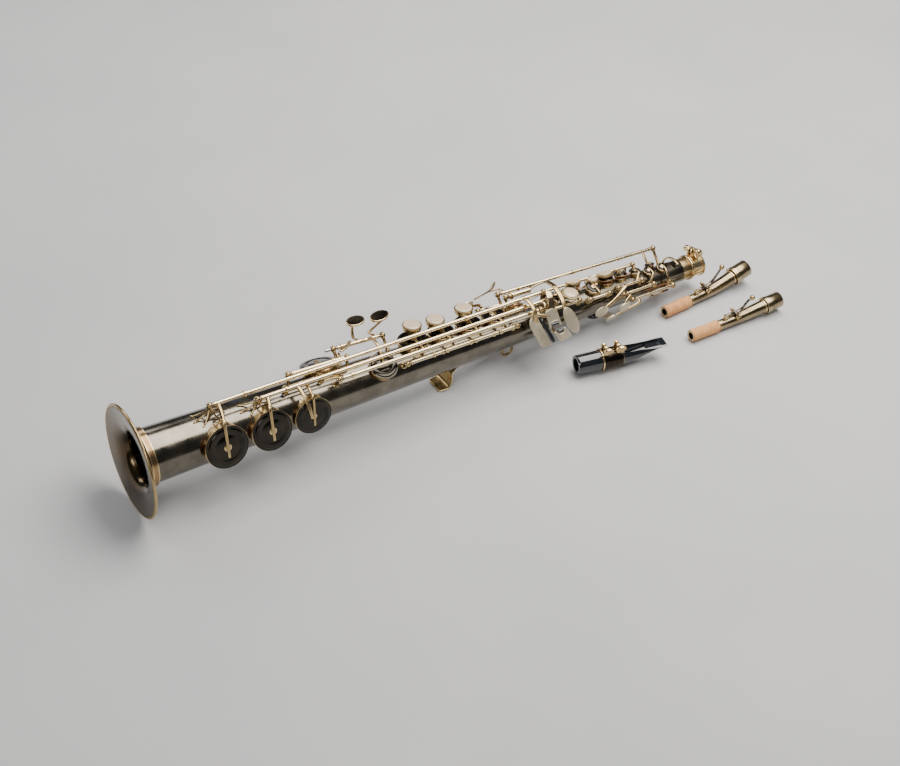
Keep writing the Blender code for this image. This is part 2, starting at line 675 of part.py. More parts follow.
def build_stack(mats, horn):
    spec = {
        "d_key": ("d", 250.0, (262.0, 270.6)),
        "e_key": ("e", 282.0, (275.2, 298.2)),
        "f_key": ("f", 309.5, (303.4, 321.6)),
        "fs_key": ("fs", 334.6, (329.4,)),
    }
    for name, (key, u_arm, collars) in spec.items():
        _, r, phi = rod_point(name, u_arm)
        solids = [key_rod(name), cup_arm(key, u_arm, r, phi, 0.35, 3.2, 1.6), cup(key)]
        for u in collars:
            _, rc, _ = rod_point(name, u)
            solids.append(collar(u, rc, 59.5, 2.4, 1.8))
        if key in PEARLS:
            u, top, ang, radius, tilt = PEARLS[key]
            solids += pearl_seat(u, cup_h(key) + 0.8, top, ang, radius, tilt, 12, 3.4)
        make_part(name, opened(name, key, solids), mats["gold"], line_of(name)[0], horn)
        if key in PEARLS:
            body = opened(name, key, [pearl(u, top, ang, radius, tilt, 12)])
            make_part("pearl_" + key, body, mats["pearl"], at(u, top, ang), horn)

    upper = {
        "g_key": ("g", 393.0, "g"),
        "bis_key": ("bis", 438.0, "bis"),
        "a_key": ("a", 420.0, "a"),
        "b_key": ("b2", 454.0, "b2"),
        "c_key": ("c2", 471.0, None),
    }
    for name, (key, u_arm, pearl_key) in upper.items():
        _, r, phi = rod_point(name, u_arm)
        solids = [key_rod(name, 8, 1.4), cup_arm(key, u_arm, r, phi, 0.3, 2.6, 1.5), cup(key)]
        if pearl_key:
            u, top, ang, radius, tilt = PEARLS[pearl_key]
            hu, hphi, hr, _ = HOLES[key]
            if abs(hu - u) < hr * 0.7 and abs(hphi - ang) < 20:
                solids += pearl_seat(u, cup_h(key) + 0.8, top, ang, radius, tilt, 12)
            else:
                seat = pearl_seat(u, top - 4.0, top, ang, radius, tilt, 12)
                side = 1.0 if u > hu else -1.0
                bar = arc(hu + side * hr * 0.4, cup_h(key) + CUP_T + 0.4, hphi, u, top - 3.7, ang, 3)
                solids += [sweep(bar, 3.0, 1.8)] + seat
        make_part(name, opened(name, key, solids), mats["gold"], line_of(name)[0], horn)
        if pearl_key:
            body = opened(name, key, [pearl(u, top, ang, radius, tilt, 12)])
            make_part("pearl_" + pearl_key, body, mats["pearl"], at(u, top, ang), horn)


def build_upper(mats, horn):
    name = "gs_lever"
    disc = lathe([(0, 0), (3.6, 0), (3.6, 1.4), (0, 1.4)], at(357.5, 28.0, -12.0), (1, 0, 0), 12)
    bar = [at(376.5, 27.4, -12.0), at(381.0, 29.4, -12.5), at(391.0, 30.2, -13.0), at(394.5, 30.6, -4.0),
           at(394.0, 31.0, 14.0), at(393.0, 30.8, 32.0), at(392.4, 30.6, 48.0), on_table(392.4, 2.0, -1.6),
           on_table(393.0, -4.0, -1.4)]
    dome = prism(ellipse(0, 0, 5.9, 12.2, 14.0, 16), on_table(394.0, -5.2, -PLATE), (1, 0, 0),
                 -tangent(TABLE_PHI), PLATE + 1.0, 0.2)
    solids = [key_rod(name, 10, 2.3), disc, sweep(bar, 4.2, 1.8, None, 4), dome]
    make_part(name, solids, mats["gold"], line_of(name)[0], horn)

    name = "gs_key"
    solids = [key_rod(name, 8, 1.4), cup_arm("gs", 361.5, 20.5, -71.0, 0.3, 2.8, 1.5), cup("gs")]
    make_part(name, solids, mats["gold"], line_of(name)[0], horn)

    palms = {
        "palm_d_key": ("pd", 480.0, (464.6, 450.0, 432.0), (17.0, 22.4, 23.6), (52.0, 75.0, 92.0), 7.0),
        "palm_eb_key": ("pe", 492.0, (468.6, 461.0, 457.0), (15.4, 21.8, 23.6), (78.0, 90.0, 100.0), 6.0),
        "palm_f_key": ("pf", 513.0, (478.6, 466.0, 448.0), (15.6, 20.8, 21.4), (108.0, 119.0, 130.0), 6.0),
    }
    for name, (key, u_arm, us, rs, phis, size) in palms.items():
        _, r, phi = rod_point(name, u_arm)
        pts = [at(a, b, c) for a, b, c in zip(us, rs, phis)]
        pts.insert(1, at(us[0] - 1.2, rs[0] + 4.8, phis[0] + 3.0))
        touch = prism(ellipse(0, 0, size, size * 0.62, 10.0, 12), pts[-1] - radial(phis[-1]) * 0.4,
                      (1, 0, 0), -tangent(phis[-1]), 2.0, 0.25)
        solids = [key_rod(name, 8, 1.4), cup_arm(key, u_arm, r, phi, 0.3, 2.4, 1.4), cup(key),
                  sweep(pts, 2.8, 1.6), touch]
        make_part(name, solids, mats["gold"], line_of(name)[0], horn)

    name = "side_e_key"
    blade = [at(357.0, 31.4, -30.0), at(355.2, 35.6, -33.0), at(345.0, 36.4, -34.0), at(334.0, 34.8, -31.0),
             at(329.0, 34.0, -30.0)]
    lever = [at(344.0, 36.4, -34.0), at(351.0, 39.0, -38.0), at(357.0, 43.6, -42.0)]
    solids = [key_rod(name, 8, 1.5), sweep(blade, [2.6, 3.0, 5.0, 6.5, 5.0], 1.6),
              sweep(lever, [5.0, 4.6, 3.6], 1.6), cup_arm("se", 507.0, 26.7, -30.0, 0.2, 2.6, 1.5), cup("se")]
    make_part(name, solids, mats["gold"], line_of(name)[0], horn)

    sides = {
        "side_c_key": ("sc", 444.0, 354.4, (343.0, 34.0, -110.0)),
        "side_bb_key": ("sb", 404.0, 340.4, (326.0, 29.6, -131.0)),
        "high_fs_key": ("hf", 489.5, 340.4, (322.0, 33.6, -46.0)),
    }
    for name, (key, u_arm, u_t, (u, r, phi)) in sides.items():
        _, ra, pa = rod_point(name, u_arm)
        _, rt, pt = rod_point(name, u_t)
        bridge = [at(u_t, rt, pt), at(u_t - 1.2, rt + 4.8, pt + 2.0)]
        bridge += arc(u_t - 7.0, rt + 5.2, pt + 0.3 * (phi - pt), u + 4.0, r, phi, 2)
        outline = ellipse(0, 0, 9.0, 4.6, 0.0, 12)
        touch = prism(outline, at(u, r - 0.8, phi), (1, 0, 0), -tangent(phi), 1.8, 0.15)
        solids = [key_rod(name, 8, 1.4), cup_arm(key, u_arm, ra, pa, 0.3, 2.6, 1.4), cup(key),
                  sweep(bridge, 3.0, 1.7), touch]
        make_part(name, solids, mats["gold"], line_of(name)[0], horn)

    name = "octave_lever"
    pad = prism(ellipse(0, 0, 5.0, 7.0, 0.0, 12), at(456.0, 19.4, 180.0), (1, 0, 0), -tangent(180.0), 1.8, 0.15)
    ring = [at(530.0, tube_r(530.0) + 3.6, 210.0 + 13.5 * k) for k in range(15)]
    solids = [key_rod(name, 8, 1.4), sweep(arc(456.0, 17.3, -150.0, 456.0, 20.4, -172.0, 3), 2.8, 1.6), pad,
              sweep([at(508.0, 16.6, -150.0), at(509.2, 21.2, -152.0), at(520.0, 20.4, -151.0), ring[0]], 2.6, 1.6),
              sweep(ring, 2.6, 1.6)]
    make_part(name, solids, mats["gold"], line_of(name)[0], horn)

    cup_v = lathe([(0, 0), (3.6, 0), (3.6, 1.6), (0, 1.6)], at(516.0, chimney_h("vent") + GAP, 150.0),
                  radial(150.0), 12)
    stem = sweep([at(516.0, chimney_h("vent") + 1.4, 150.0), at(505.0, chimney_h("vent") + 2.2, 150.0),
                  at(500.0, 14.0, 150.0)], 2.4, 1.4)
    hub = cylinder(at(500.0, 14.2, 141.0), at(500.0, 14.2, 159.0), 1.3, 8)
    make_part("octave_vent", [cup_v, stem, hub], mats["gold"], at(500.0, 14.2, 150.0), horn)


# Rollers on the table: key, ends in the table plane, radius, height
ROLLERS = {
    "roller_bb": ("low_bb_key", "bb", (365.7, 3.4), (371.3, -18.8), 1.6, -3.2),
    "roller_b": ("low_b_key", "b", (378.2, -11.6), (383.8, -11.3), 1.6, -3.3),
    "roller_cs": ("low_cs_lever", None, (373.4, -3.6), (380.8, -3.6), 1.4, -0.7),
}


def build_rollers(mats, horn):
    for name, (key_name, key, p, q, radius, h) in ROLLERS.items():
        solid = cylinder(on_table(*p, h), on_table(*q, h), radius, 12)
        if key:
            solid = opened(key_name, key, [solid])[0]
        make_part(name, [solid], mats["black"], solid[0][0], horn)


# ---------------------------------------------------------------- loose pieces
NECK1 = {
    "path": [(0, 5.9), (30, 5.7), (44, 5.9), (58, 6.9), (70, 8.8), (82, 11.2), (86, 12.1), (99, 15.0)],
    "radius": [4.3, 4.5, 5.0, 5.5, 6.0, 6.5, 6.6, 8.0],
    "ring": (82, 86, 8.6), "tenon": 8.0, "ball": (66.0, 29.0), "pivot": (49.0, 14.0),
}
NECK2 = {
    "path": [(0, 5.9), (30, 5.7), (44, 5.8), (58, 6.6), (70, 7.6), (82, 8.6), (86, 9.0), (99, 10.2)],
    "radius": [4.3, 4.5, 4.9, 5.3, 5.8, 6.3, 6.4, 7.4],
    "ring": (82, 86, 7.9), "tenon": 7.4, "ball": (66.0, 24.0), "pivot": (49.0, 13.4),
}
# Loose pieces on the floor: place of the left end, heading
NECK1_PLACE = (223.5, -25.5, 3.0)
NECK2_PLACE = (222.5, -64.5, -2.0)
MOUTHPIECE_PLACE = (108.0, -48.5, -12.5, 1.2)
CORK = 29.0
CORK_R = 5.5


def tube_along(path, radii, sides, inner=None):
    """Solid round bar, or a tube when inner radii are given, along (x, z) points."""
    pts = [Vector((x, 0, z)) for x, z in path]
    verts, faces = [], []
    loops = []

    def add_ring(i, radius):
        a, b = pts[max(i - 1, 0)], pts[min(i + 1, len(pts) - 1)]
        t = (b - a).normalized()
        n = Vector((-t.z, 0, t.x))
        ids = []
        for k in range(sides):
            q = 2 * math.pi * k / sides
            ids.append(len(verts))
            verts.append(pts[i] + Vector((0, 1, 0)) * (radius * math.cos(q)) + n * (radius * math.sin(q)))
        loops.append(ids)

    for i in range(len(pts)):
        add_ring(i, radii[i])
    if inner:
        for i in reversed(range(len(pts))):
            add_ring(i, inner[i])
    pairs = list(zip(loops, loops[1:]))
    if inner:
        pairs.append((loops[-1], loops[0]))
    for low, high in pairs:
        for k in range(sides):
            m = (k + 1) % sides
            faces.append((low[k], low[m], high[m], high[k]))
    if not inner:
        faces.append(tuple(reversed(loops[0])))
        faces.append(tuple(loops[-1]))
    return verts, faces


def path_point(spec, x):
    path = spec["path"]
    for (x0, z0), (x1, z1) in zip(path, path[1:]):
        if x0 <= x <= x1:
            return z0 + (z1 - z0) * (x - x0) / (x1 - x0)
    return path[-1][1]


def build_neck(tag, spec, mats, frame):
    ring0, ring1, ring_r = spec["ring"]
    tenon = spec["tenon"]
    path = spec["path"][:6] + [(82.3, path_point(spec, 82.3)), (86, path_point(spec, 86)),
                               (86.3, path_point(spec, 86.3)), spec["path"][-1]]
    radii = spec["radius"][:5] + [spec["radius"][5], ring_r, ring_r, tenon, tenon]
    inner = [r - 0.9 for r in spec["radius"][:6]] + [spec["radius"][5] - 0.9] * 3 + [tenon - 0.9]
    body = tube_along(path, radii, 14, inner)
    px, pz = spec["pivot"]
    solids = [body]
    zc = path_point(spec, px)
    for y in (-5.6, 5.6):
        solids.append(cylinder((px, y * 0.55, zc + 2.0), (px, y, pz), 1.1, 6))
        solids.append(ball((px, y, pz), 1.7, 6, 4))
    pip_x = 38.0
    zp = path_point(spec, pip_x)
    solids.append(cylinder((pip_x, 0, zp + 3.9), (pip_x, 0, zp + 6.4), 1.7, 10))
    make_part(tag + "_tube", solids, mats["gold"], (px, 0, zc), frame)

    cork = tube_along([(0, spec["path"][0][1]), (CORK, path_point(spec, CORK))], [CORK_R, CORK_R], 16,
                      [4.3 + GAP + 0.1, 4.5 + GAP + 0.1])
    make_part(tag + "_cork", [cork], mats["cork"], (0, 0, spec["path"][0][1]), frame)

    bx, bz = spec["ball"]
    hub = cylinder((px, -3.5, pz), (px, 3.5, pz), 1.5, 8)
    lever = sweep([(pip_x, 0, zp + 8.0), (pip_x + 5, 0, zp + 8.6), (px, 0, pz), (px + 7, 0, pz + 3.0),
                   (px + 12, 0, pz + 8.5), (bx, 0, bz)], 2.4, 1.8, (0, 0, 1))
    pad = cylinder((pip_x, 0, zp + 6.4 + GAP), (pip_x, 0, zp + 8.4), 2.4, 10)
    make_part(tag + "_octave_key", [hub, lever, pad, ball((bx, 0, bz), 2.5, 10, 5)], mats["gold"],
              (px, 0, pz), frame)


# Ligature screws: places along the mouthpiece, and their height
LIGATURE_SCREWS = (26.0, 38.0)
SCREW_H = 22.4

# Mouthpiece sections: along, half width, bottom, top
MP_SECTIONS = [
    (0.0, 8.2, 0.6, 17.0), (1.2, 8.7, 0.1, 17.5), (21.0, 8.9, 0.0, 17.8), (34.0, 8.6, 0.3, 17.5),
    (46.0, 8.1, 0.8, 16.9), (56.0, 7.5, 3.2, 16.3), (66.0, 7.0, 7.6, 15.5), (76.0, 6.6, 11.8, 14.6),
    (84.0, 6.2, 12.9, 14.1),
]


def build_mouthpiece(mats, frame):
    sides = 20
    verts, faces = [], []
    for s, w, low, high in MP_SECTIONS:
        zc, hz = (low + high) / 2, (high - low) / 2
        for k in range(sides):
            q = 2 * math.pi * (k + 0.5) / sides
            y, z = w * math.cos(q), hz * math.sin(q)
            if s > 30:
                z = min(z, hz * (0.86 if s > 40 else 0.93))
            verts.append(Vector((s, y, zc + z)))
    for i in range(len(MP_SECTIONS) - 1):
        for k in range(sides):
            m = (k + 1) % sides
            a, b = i * sides, (i + 1) * sides
            faces.append((a + k, a + m, b + m, b + k))
    faces.append(tuple(reversed(range(sides))))
    faces.append(tuple(range((len(MP_SECTIONS) - 1) * sides, len(MP_SECTIONS) * sides)))
    bore = cylinder((-1, 0, 8.9), (44, 0, 9.3), 5.9, 16)
    gap = [(43.0, -5.2), (78.0, -4.2), (78.0, 4.2), (43.0, 5.2)]
    window = prism(gap, (0, 0, 12.6), (1, 0, 0), (0, 1, 0), 8.0)
    throat = cylinder((40, 0, 9.2), (66, 0, 13.4), 3.6, 12)
    make_part("mouthpiece", [(verts, faces)], mats["ebonite"], (0, 0, 8.9), frame,
              cuts=[bore, window, throat])

    def section(s, grow):
        for a, b in zip(MP_SECTIONS, MP_SECTIONS[1:]):
            if a[0] <= s <= b[0]:
                t = (s - a[0]) / (b[0] - a[0])
                return [a[i] + (b[i] - a[i]) * t for i in range(4)]
        return list(MP_SECTIONS[-1])

    verts, faces = [], []
    rings = []
    order = [(22.0, 0.4), (22.0, 1.1), (42.0, 1.1), (42.0, 0.4)]
    for s, grow in order:
        _, w, low, high = section(s, 0)
        zc, hz = (low + high) / 2, (high - low) / 2
        ids = []
        for k in range(24):
            q = 2 * math.pi * k / 24
            ids.append(len(verts))
            verts.append(Vector((s, (w + grow) * math.cos(q), zc + (hz + grow) * math.sin(q))))
        rings.append(ids)
    for low, high in zip(rings, rings[1:] + rings[:1]):
        for k in range(24):
            m = (k + 1) % 24
            faces.append((low[k], low[m], high[m], high[k]))
    solids = [(verts, faces)]
    cuts = []
    lug = [(-2.2, 0), (2.2, 0), (2.2, 6.8), (-2.2, 6.8)]
    for s in LIGATURE_SCREWS:
        for y in (3.6, -1.2):
            solids.append(prism(lug, (s, y, 17.6), (1, 0, 0), (0, 0, 1), 2.4))
        cuts.append(cylinder((s, -8, SCREW_H), (s, 8, SCREW_H), 1.3, 10))
    make_part("ligature", solids, mats["gold"], (32, 0, 9), frame, cuts=cuts)
    for i, s in enumerate(LIGATURE_SCREWS):
        shaft = cylinder((s, 4.6, SCREW_H), (s, -6.4, SCREW_H), 0.95, 8)
        head = prism(ellipse(0, 0, 4.8, 2.6, 15.0, 12), (s, -5.7, SCREW_H), (1, 0, 0), (0, 0, 1), 3.0, 0.2)
        make_part(f"ligature_screw_{i + 1}", [shaft, head], mats["brass"], (s, 0, SCREW_H), frame)


def place_matrix(x, y, heading, z=0.0):
    return Matrix.Translation((x * MM, y * MM, z * MM)) @ Matrix.Rotation(math.radians(heading), 4, "Z")


def main():
    clear_scene()
    mats = {
        "tube": make_material("antique_bronze", (0.075, 0.062, 0.043), 0.95, 0.26),
        "gold": make_material("brushed_gold", (0.62, 0.52, 0.33), 1.0, 0.24),
        "brass": make_material("brass", (0.78, 0.55, 0.25), 1.0, 0.2),
        "pearl": make_material("pearl", (0.83, 0.78, 0.68), 0.0, 0.28),
        "black": make_material("black_plastic", (0.012, 0.012, 0.013), 0.0, 0.3),
        "cork": make_material("cork", (0.72, 0.45, 0.27), 0.0, 0.75),
        "ebonite": make_material("ebonite", (0.008, 0.009, 0.011), 0.0, 0.12),
    }
    horn = empty("horn", None, horn_matrix())
    build_body(mats).parent = horn
    build_bell(mats).parent = horn
    build_receiver(mats).parent = horn
    build_fittings(mats, horn)
    build_bell_keys(mats, horn)
    build_front_levers(mats, horn)
    build_stack(mats, horn)
    build_upper(mats, horn)
    build_rollers(mats, horn)
    neck1 = empty("neck1", None, place_matrix(*NECK1_PLACE))
    neck2 = empty("neck2", None, place_matrix(*NECK2_PLACE))
    mouth = empty("mouth", None, place_matrix(*MOUTHPIECE_PLACE))
    build_neck("neck1", NECK1, mats, neck1)
    build_neck("neck2", NECK2, mats, neck2)
    build_mouthpiece(mats, mouth)


main()
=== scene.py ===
"""Looks of the straight soprano saxophone, its two necks and its mouthpiece.

Fine pieces are built in millimetres in the horn's own frame, as the CAD is: x from
the bell rim to the receiver, z out of the front, y to the player's right. An angle
runs from the front towards the player's left. One matrix lays them on the floor.
"""
import math

import bmesh
import bpy
from mathutils import Matrix, Vector

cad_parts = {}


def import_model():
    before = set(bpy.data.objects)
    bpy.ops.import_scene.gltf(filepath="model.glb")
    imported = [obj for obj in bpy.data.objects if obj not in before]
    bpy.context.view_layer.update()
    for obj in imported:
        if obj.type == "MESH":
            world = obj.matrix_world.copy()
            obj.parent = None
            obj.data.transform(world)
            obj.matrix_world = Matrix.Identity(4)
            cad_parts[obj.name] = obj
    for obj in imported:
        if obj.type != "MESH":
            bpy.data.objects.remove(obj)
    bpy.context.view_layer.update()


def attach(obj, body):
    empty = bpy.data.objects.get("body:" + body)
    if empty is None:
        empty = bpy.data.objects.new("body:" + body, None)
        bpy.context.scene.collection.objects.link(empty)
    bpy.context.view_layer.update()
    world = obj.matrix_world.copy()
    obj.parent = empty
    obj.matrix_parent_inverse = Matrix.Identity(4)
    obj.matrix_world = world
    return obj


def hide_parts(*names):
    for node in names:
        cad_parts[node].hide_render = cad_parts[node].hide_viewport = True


MM = 0.001
ORIGIN, AXIAL, ACROSS, UP = (0, 0, 0), (1, 0, 0), (0, 1, 0), (0, 0, 1)
SHARP = 38.0  # edges bent further than this stay crisp, in degrees

# Horn
LENGTH = 560.0
TOP_RADIUS = 9.6
TAPER = 0.0235
WALL = 0.8
BELL_END = 10.5
TUBE_END = 536.0
ROD = 1.7
BALL = 2.7
GAP = 0.3
ROLL, PITCH, LIFT = 15.0, 2.47, 46.96
TABLE_PHI, TABLE_H, PLATE = 70.0, 32.0, 1.6
CHIMNEY, CUP_T = 1.9, 2.2

# Tone holes: axial place, angle, cup radius, how far the key stands open (degrees)
HOLES = {
    "bb": (69.5, 95.0, 18.2, 5.0), "b": (109.0, 95.0, 17.4, 5.0), "cs": (147.0, 98.0, 16.2, 0.0),
    "c": (171.0, -20.0, 15.6, 11.0), "eb": (218.0, 44.0, 12.4, 0.0), "d": (254.0, 5.0, 13.4, 6.0),
    "e": (281.0, 5.0, 12.0, 6.0), "f": (308.0, 5.0, 11.8, 6.0), "fs": (333.5, 5.0, 11.0, 6.0),
    "gs": (361.5, -38.0, 9.2, 0.0), "g": (392.5, 8.0, 8.8, 6.0), "a": (421.0, -14.0, 7.6, 6.0),
    "bis": (437.5, 20.0, 7.4, 4.0), "b2": (454.5, 2.0, 7.6, 6.0), "c2": (471.0, 2.0, 6.4, 6.0),
    "pd": (487.0, 4.0, 5.6, 0.0), "pe": (499.5, 24.0, 5.2, 0.0), "pf": (514.0, 28.0, 4.8, 0.0),
    "se": (507.0, -14.0, 4.8, 0.0), "sc": (443.0, -85.0, 7.2, 0.0), "sb": (402.0, -72.0, 8.2, 0.0),
    "hf": (489.0, -84.0, 5.4, 0.0), "vent": (516.0, 150.0, 3.6, 0.0),
}

# Key rods: from, to, distance and angle at each end
RODS = {
    "low_bb_key": (69.0, 376.2, 33.0, 22.5, 33.0, 22.5),
    "low_b_key": (106.5, 376.2, 30.5, 35.5, 30.5, 35.5),
    "low_cs_lever": (176.5, 366.0, 30.5, 48.0, 30.5, 48.0),
    "low_cs_key": (134.0, 160.0, 25.6, 27.0, 25.2, 27.0),
    "low_c_key": (140.0, 187.5, 30.9, 11.0, 28.9, 11.0),
    "low_c_lever": (192.5, 216.3, 32.1, -30.0, 31.0, -30.0),
    "low_eb_key": (216.9, 232.0, 30.9, -30.0, 30.3, -30.0),
    "d_key": (239.5, 272.4, 24.9, 59.5, 24.3, 59.5),
    "e_key": (273.0, 300.7, 24.2, 59.5, 23.7, 59.5),
    "f_key": (301.3, 326.7, 23.6, 59.5, 23.2, 59.5),
    "fs_key": (327.3, 343.0, 23.1, 59.5, 22.8, 59.5),
    "gs_lever": (355.5, 378.0, 28.0, -12.0, 27.4, -12.0),
    "gs_key": (346.0, 376.0, 20.5, -71.0, 20.5, -71.0),
    "g_key": (389.0, 413.0, 18.6, 50.0, 18.0, 50.0),
    "bis_key": (430.0, 445.0, 17.2, 58.0, 17.0, 58.0),
    "a_key": (414.0, 430.0, 17.8, -48.0, 17.6, -48.0),
    "b_key": (447.0, 457.2, 17.2, -48.0, 17.0, -48.0),
    "c_key": (463.6, 479.0, 16.8, -48.0, 16.4, -48.0),
    "palm_d_key": (462.0, 482.0, 17.0, 52.0, 16.6, 52.0),
    "palm_eb_key": (466.0, 494.0, 15.4, 78.0, 15.2, 78.0),
    "palm_f_key": (476.0, 516.0, 15.6, 108.0, 15.2, 108.0),
    "side_e_key": (354.0, 516.0, 31.5, -30.0, 26.4, -30.0),
    "side_c_key": (352.0, 450.0, 24.5, -98.0, 22.0, -112.0),
    "side_bb_key": (338.0, 408.0, 26.0, -120.0, 20.4, -120.0),
    "high_fs_key": (338.0, 494.0, 28.0, -62.0, 20.0, -52.0),
    "octave_lever": (449.0, 512.0, 17.5, -150.0, 16.6, -150.0),
}

# Finger pearls: axial place, distance of the top, angle, radius, tilt
PEARLS = {
    "d": (256.0, 33.6, -4.0, 8.2, 10.0),
    "e": (278.5, 31.4, -4.0, 8.2, 10.0),
    "f": (307.5, 32.6, -6.0, 8.2, 10.0),
    "g": (408.5, 24.4, 27.0, 7.4, -14.0),
    "bis": (440.5, 20.8, -2.0, 5.4, 2.0),
    "a": (423.5, 22.4, -12.0, 7.2, 8.0),
    "b2": (454.0, 22.0, 2.0, 7.2, -4.0),
}


# ---------------------------------------------------------------- places
def tube_r(u):
    """Outside radius of the conical tube."""
    return TOP_RADIUS + (LENGTH - u) * TAPER


def at(u, r, phi):
    """Point from axial place, distance from the axis and angle."""
    a = math.radians(phi)
    return Vector((u, -r * math.sin(a), r * math.cos(a)))


def radial(phi):
    """Direction out of the tube."""
    return at(0.0, 1.0, phi)


def tangent(phi):
    """Direction round the tube."""
    a = math.radians(phi)
    return Vector((0.0, -math.cos(a), -math.sin(a)))


def polar(v):
    """Distance from the axis and angle of a point."""
    return math.hypot(v.y, v.z), math.degrees(math.atan2(-v.y, v.z))


def chimney_h(key):
    return tube_r(HOLES[key][0]) + CHIMNEY


def cup_h(key):
    return chimney_h(key) + GAP


def on_table(u, t, h=0.0):
    """Point on the little-finger table, t towards the front and h above it."""
    return radial(TABLE_PHI) * (TABLE_H + h) - tangent(TABLE_PHI) * t + Vector((u, 0, 0))


def rod_point(name, u):
    """Axial place, distance and angle of a rod's axis."""
    u0, u1, r0, phi0, r1, phi1 = RODS[name]
    t = (u - u0) / (u1 - u0)
    return u, r0 + (r1 - r0) * t, phi0 + (phi1 - phi0) * t


def line_of(name):
    u0, u1, r0, phi0, r1, phi1 = RODS[name]
    return at(u0, r0, phi0), at(u1, r1, phi1)


def horn_matrix():
    """Lays the horn down on its bell rim and thumb hook."""
    turn = Matrix.Rotation(math.radians(PITCH), 4, "Y") @ Matrix.Rotation(math.radians(-ROLL), 4, "X")
    return Matrix.Translation((-LENGTH / 2 * MM, 0, LIFT * MM)) @ turn


def floor_matrix(x, y, heading, z=0.0):
    return Matrix.Translation((x * MM, y * MM, z * MM)) @ Matrix.Rotation(math.radians(heading), 4, "Z")


# ---------------------------------------------------------------- shapes
class Shape:
    """Closed shells in millimetres; each face keeps the index of its material."""

    def __init__(self):
        self.verts, self.faces, self.mats = [], [], []

    def add(self, solid, mat=0):
        verts, faces = solid
        base = len(self.verts)
        self.verts += [Vector(v) for v in verts]
        self.faces += [tuple(i + base for i in face) for face in faces]
        self.mats += [mat] * len(faces)
        return self

    def turn(self, line, degrees):
        p, q = line
        rot = Matrix.Rotation(math.radians(degrees), 3, (q - p).normalized())
        self.verts = [p + rot @ (v - p) for v in self.verts]
        return self


def circle(sides, shift=0.0):
    """Cosine and sine of evenly spaced angles round a circle."""
    turns = [2 * math.pi * (k + shift) / sides for k in range(sides)]
    return [(math.cos(t), math.sin(t)) for t in turns]


def add_ring(verts, points):
    """Append points to verts and return their numbers."""
    start = len(verts)
    verts.extend(points)
    return list(range(start, len(verts)))


def between(rings, closed=False):
    """Faces between neighbouring rings of vertex numbers; a ring of one vertex is a pole."""
    faces = []
    for low, high in zip(rings, rings[1:] + (rings[:1] if closed else [])):
        count = max(len(low), len(high))
        for k in range(count):
            n = (k + 1) % count
            if len(low) == 1:
                faces.append((low[0], high[n], high[k]))
            elif len(high) == 1:
                faces.append((low[k], low[n], high[0]))
            else:
                faces.append((low[k], low[n], high[n], high[k]))
    return faces


def capped(rings):
    """Faces of a form that begins and ends in a flat ring."""
    return between(rings) + [tuple(reversed(rings[0])), tuple(rings[-1])]


def lathe(profile, origin, axis, sides=32, loop=False):
    """Turned form: (radius, height) points about an axis, joined end to end for a ring."""
    axis = Vector(axis).normalized()
    ref = Vector(AXIAL) if abs(axis.x) < 0.9 else Vector(UP)
    e1 = (ref - axis * ref.dot(axis)).normalized()
    e2 = axis.cross(e1)
    spokes = circle(sides)
    verts, rings = [], []
    for radius, height in profile:
        centre = Vector(origin) + axis * height
        if radius < 1e-6:
            rings.append(add_ring(verts, [centre]))
        else:
            rings.append(add_ring(verts, [centre + e1 * (radius * c) + e2 * (radius * d) for c,
                                          d in spokes]))
    return verts, between(rings, loop)


def bar(p, q, radius, sides=20, edge=0.3):
    """Round rod with softened ends."""
    p, q = Vector(p), Vector(q)
    length = (q - p).length
    profile = [(0, 0), (radius - edge, 0), (radius, edge), (radius, length - edge),
               (radius - edge, length), (0, length)]
    return lathe(profile, p, q - p, sides)


def ball(p, radius, axis=UP, sides=20, rows=10):
    profile = []
    for k in range(rows + 1):
        t = math.pi * k / rows
        profile.append((radius * math.sin(t) if 0 < k < rows else 0.0, -radius * math.cos(t)))
    return lathe(profile, p, axis, sides)


def smooth_path(points, widths, thicks, steps=5):
    """Catmull-Rom points through a path, with widths and thicknesses carried along."""
    n = len(points)
    out = []
    for i in range(n - 1):
        p0, p1 = points[max(i - 1, 0)], points[i]
        p2, p3 = points[i + 1], points[min(i + 2, n - 1)]
        for k in range(steps + (1 if i == n - 2 else 0)):
            t = k / steps
            p = 0.5 * ((2 * p1) + (p2 - p0) * t + (2 * p0 - 5 * p1 + 4 * p2 - p3) * t * t
                       + (3 * p1 - p0 - 3 * p2 + p3) * t * t * t)
            w = widths[i] + (widths[i + 1] - widths[i]) * t
            h = thicks[i] + (thicks[i + 1] - thicks[i]) * t
            out.append((p, w, h))
    return out


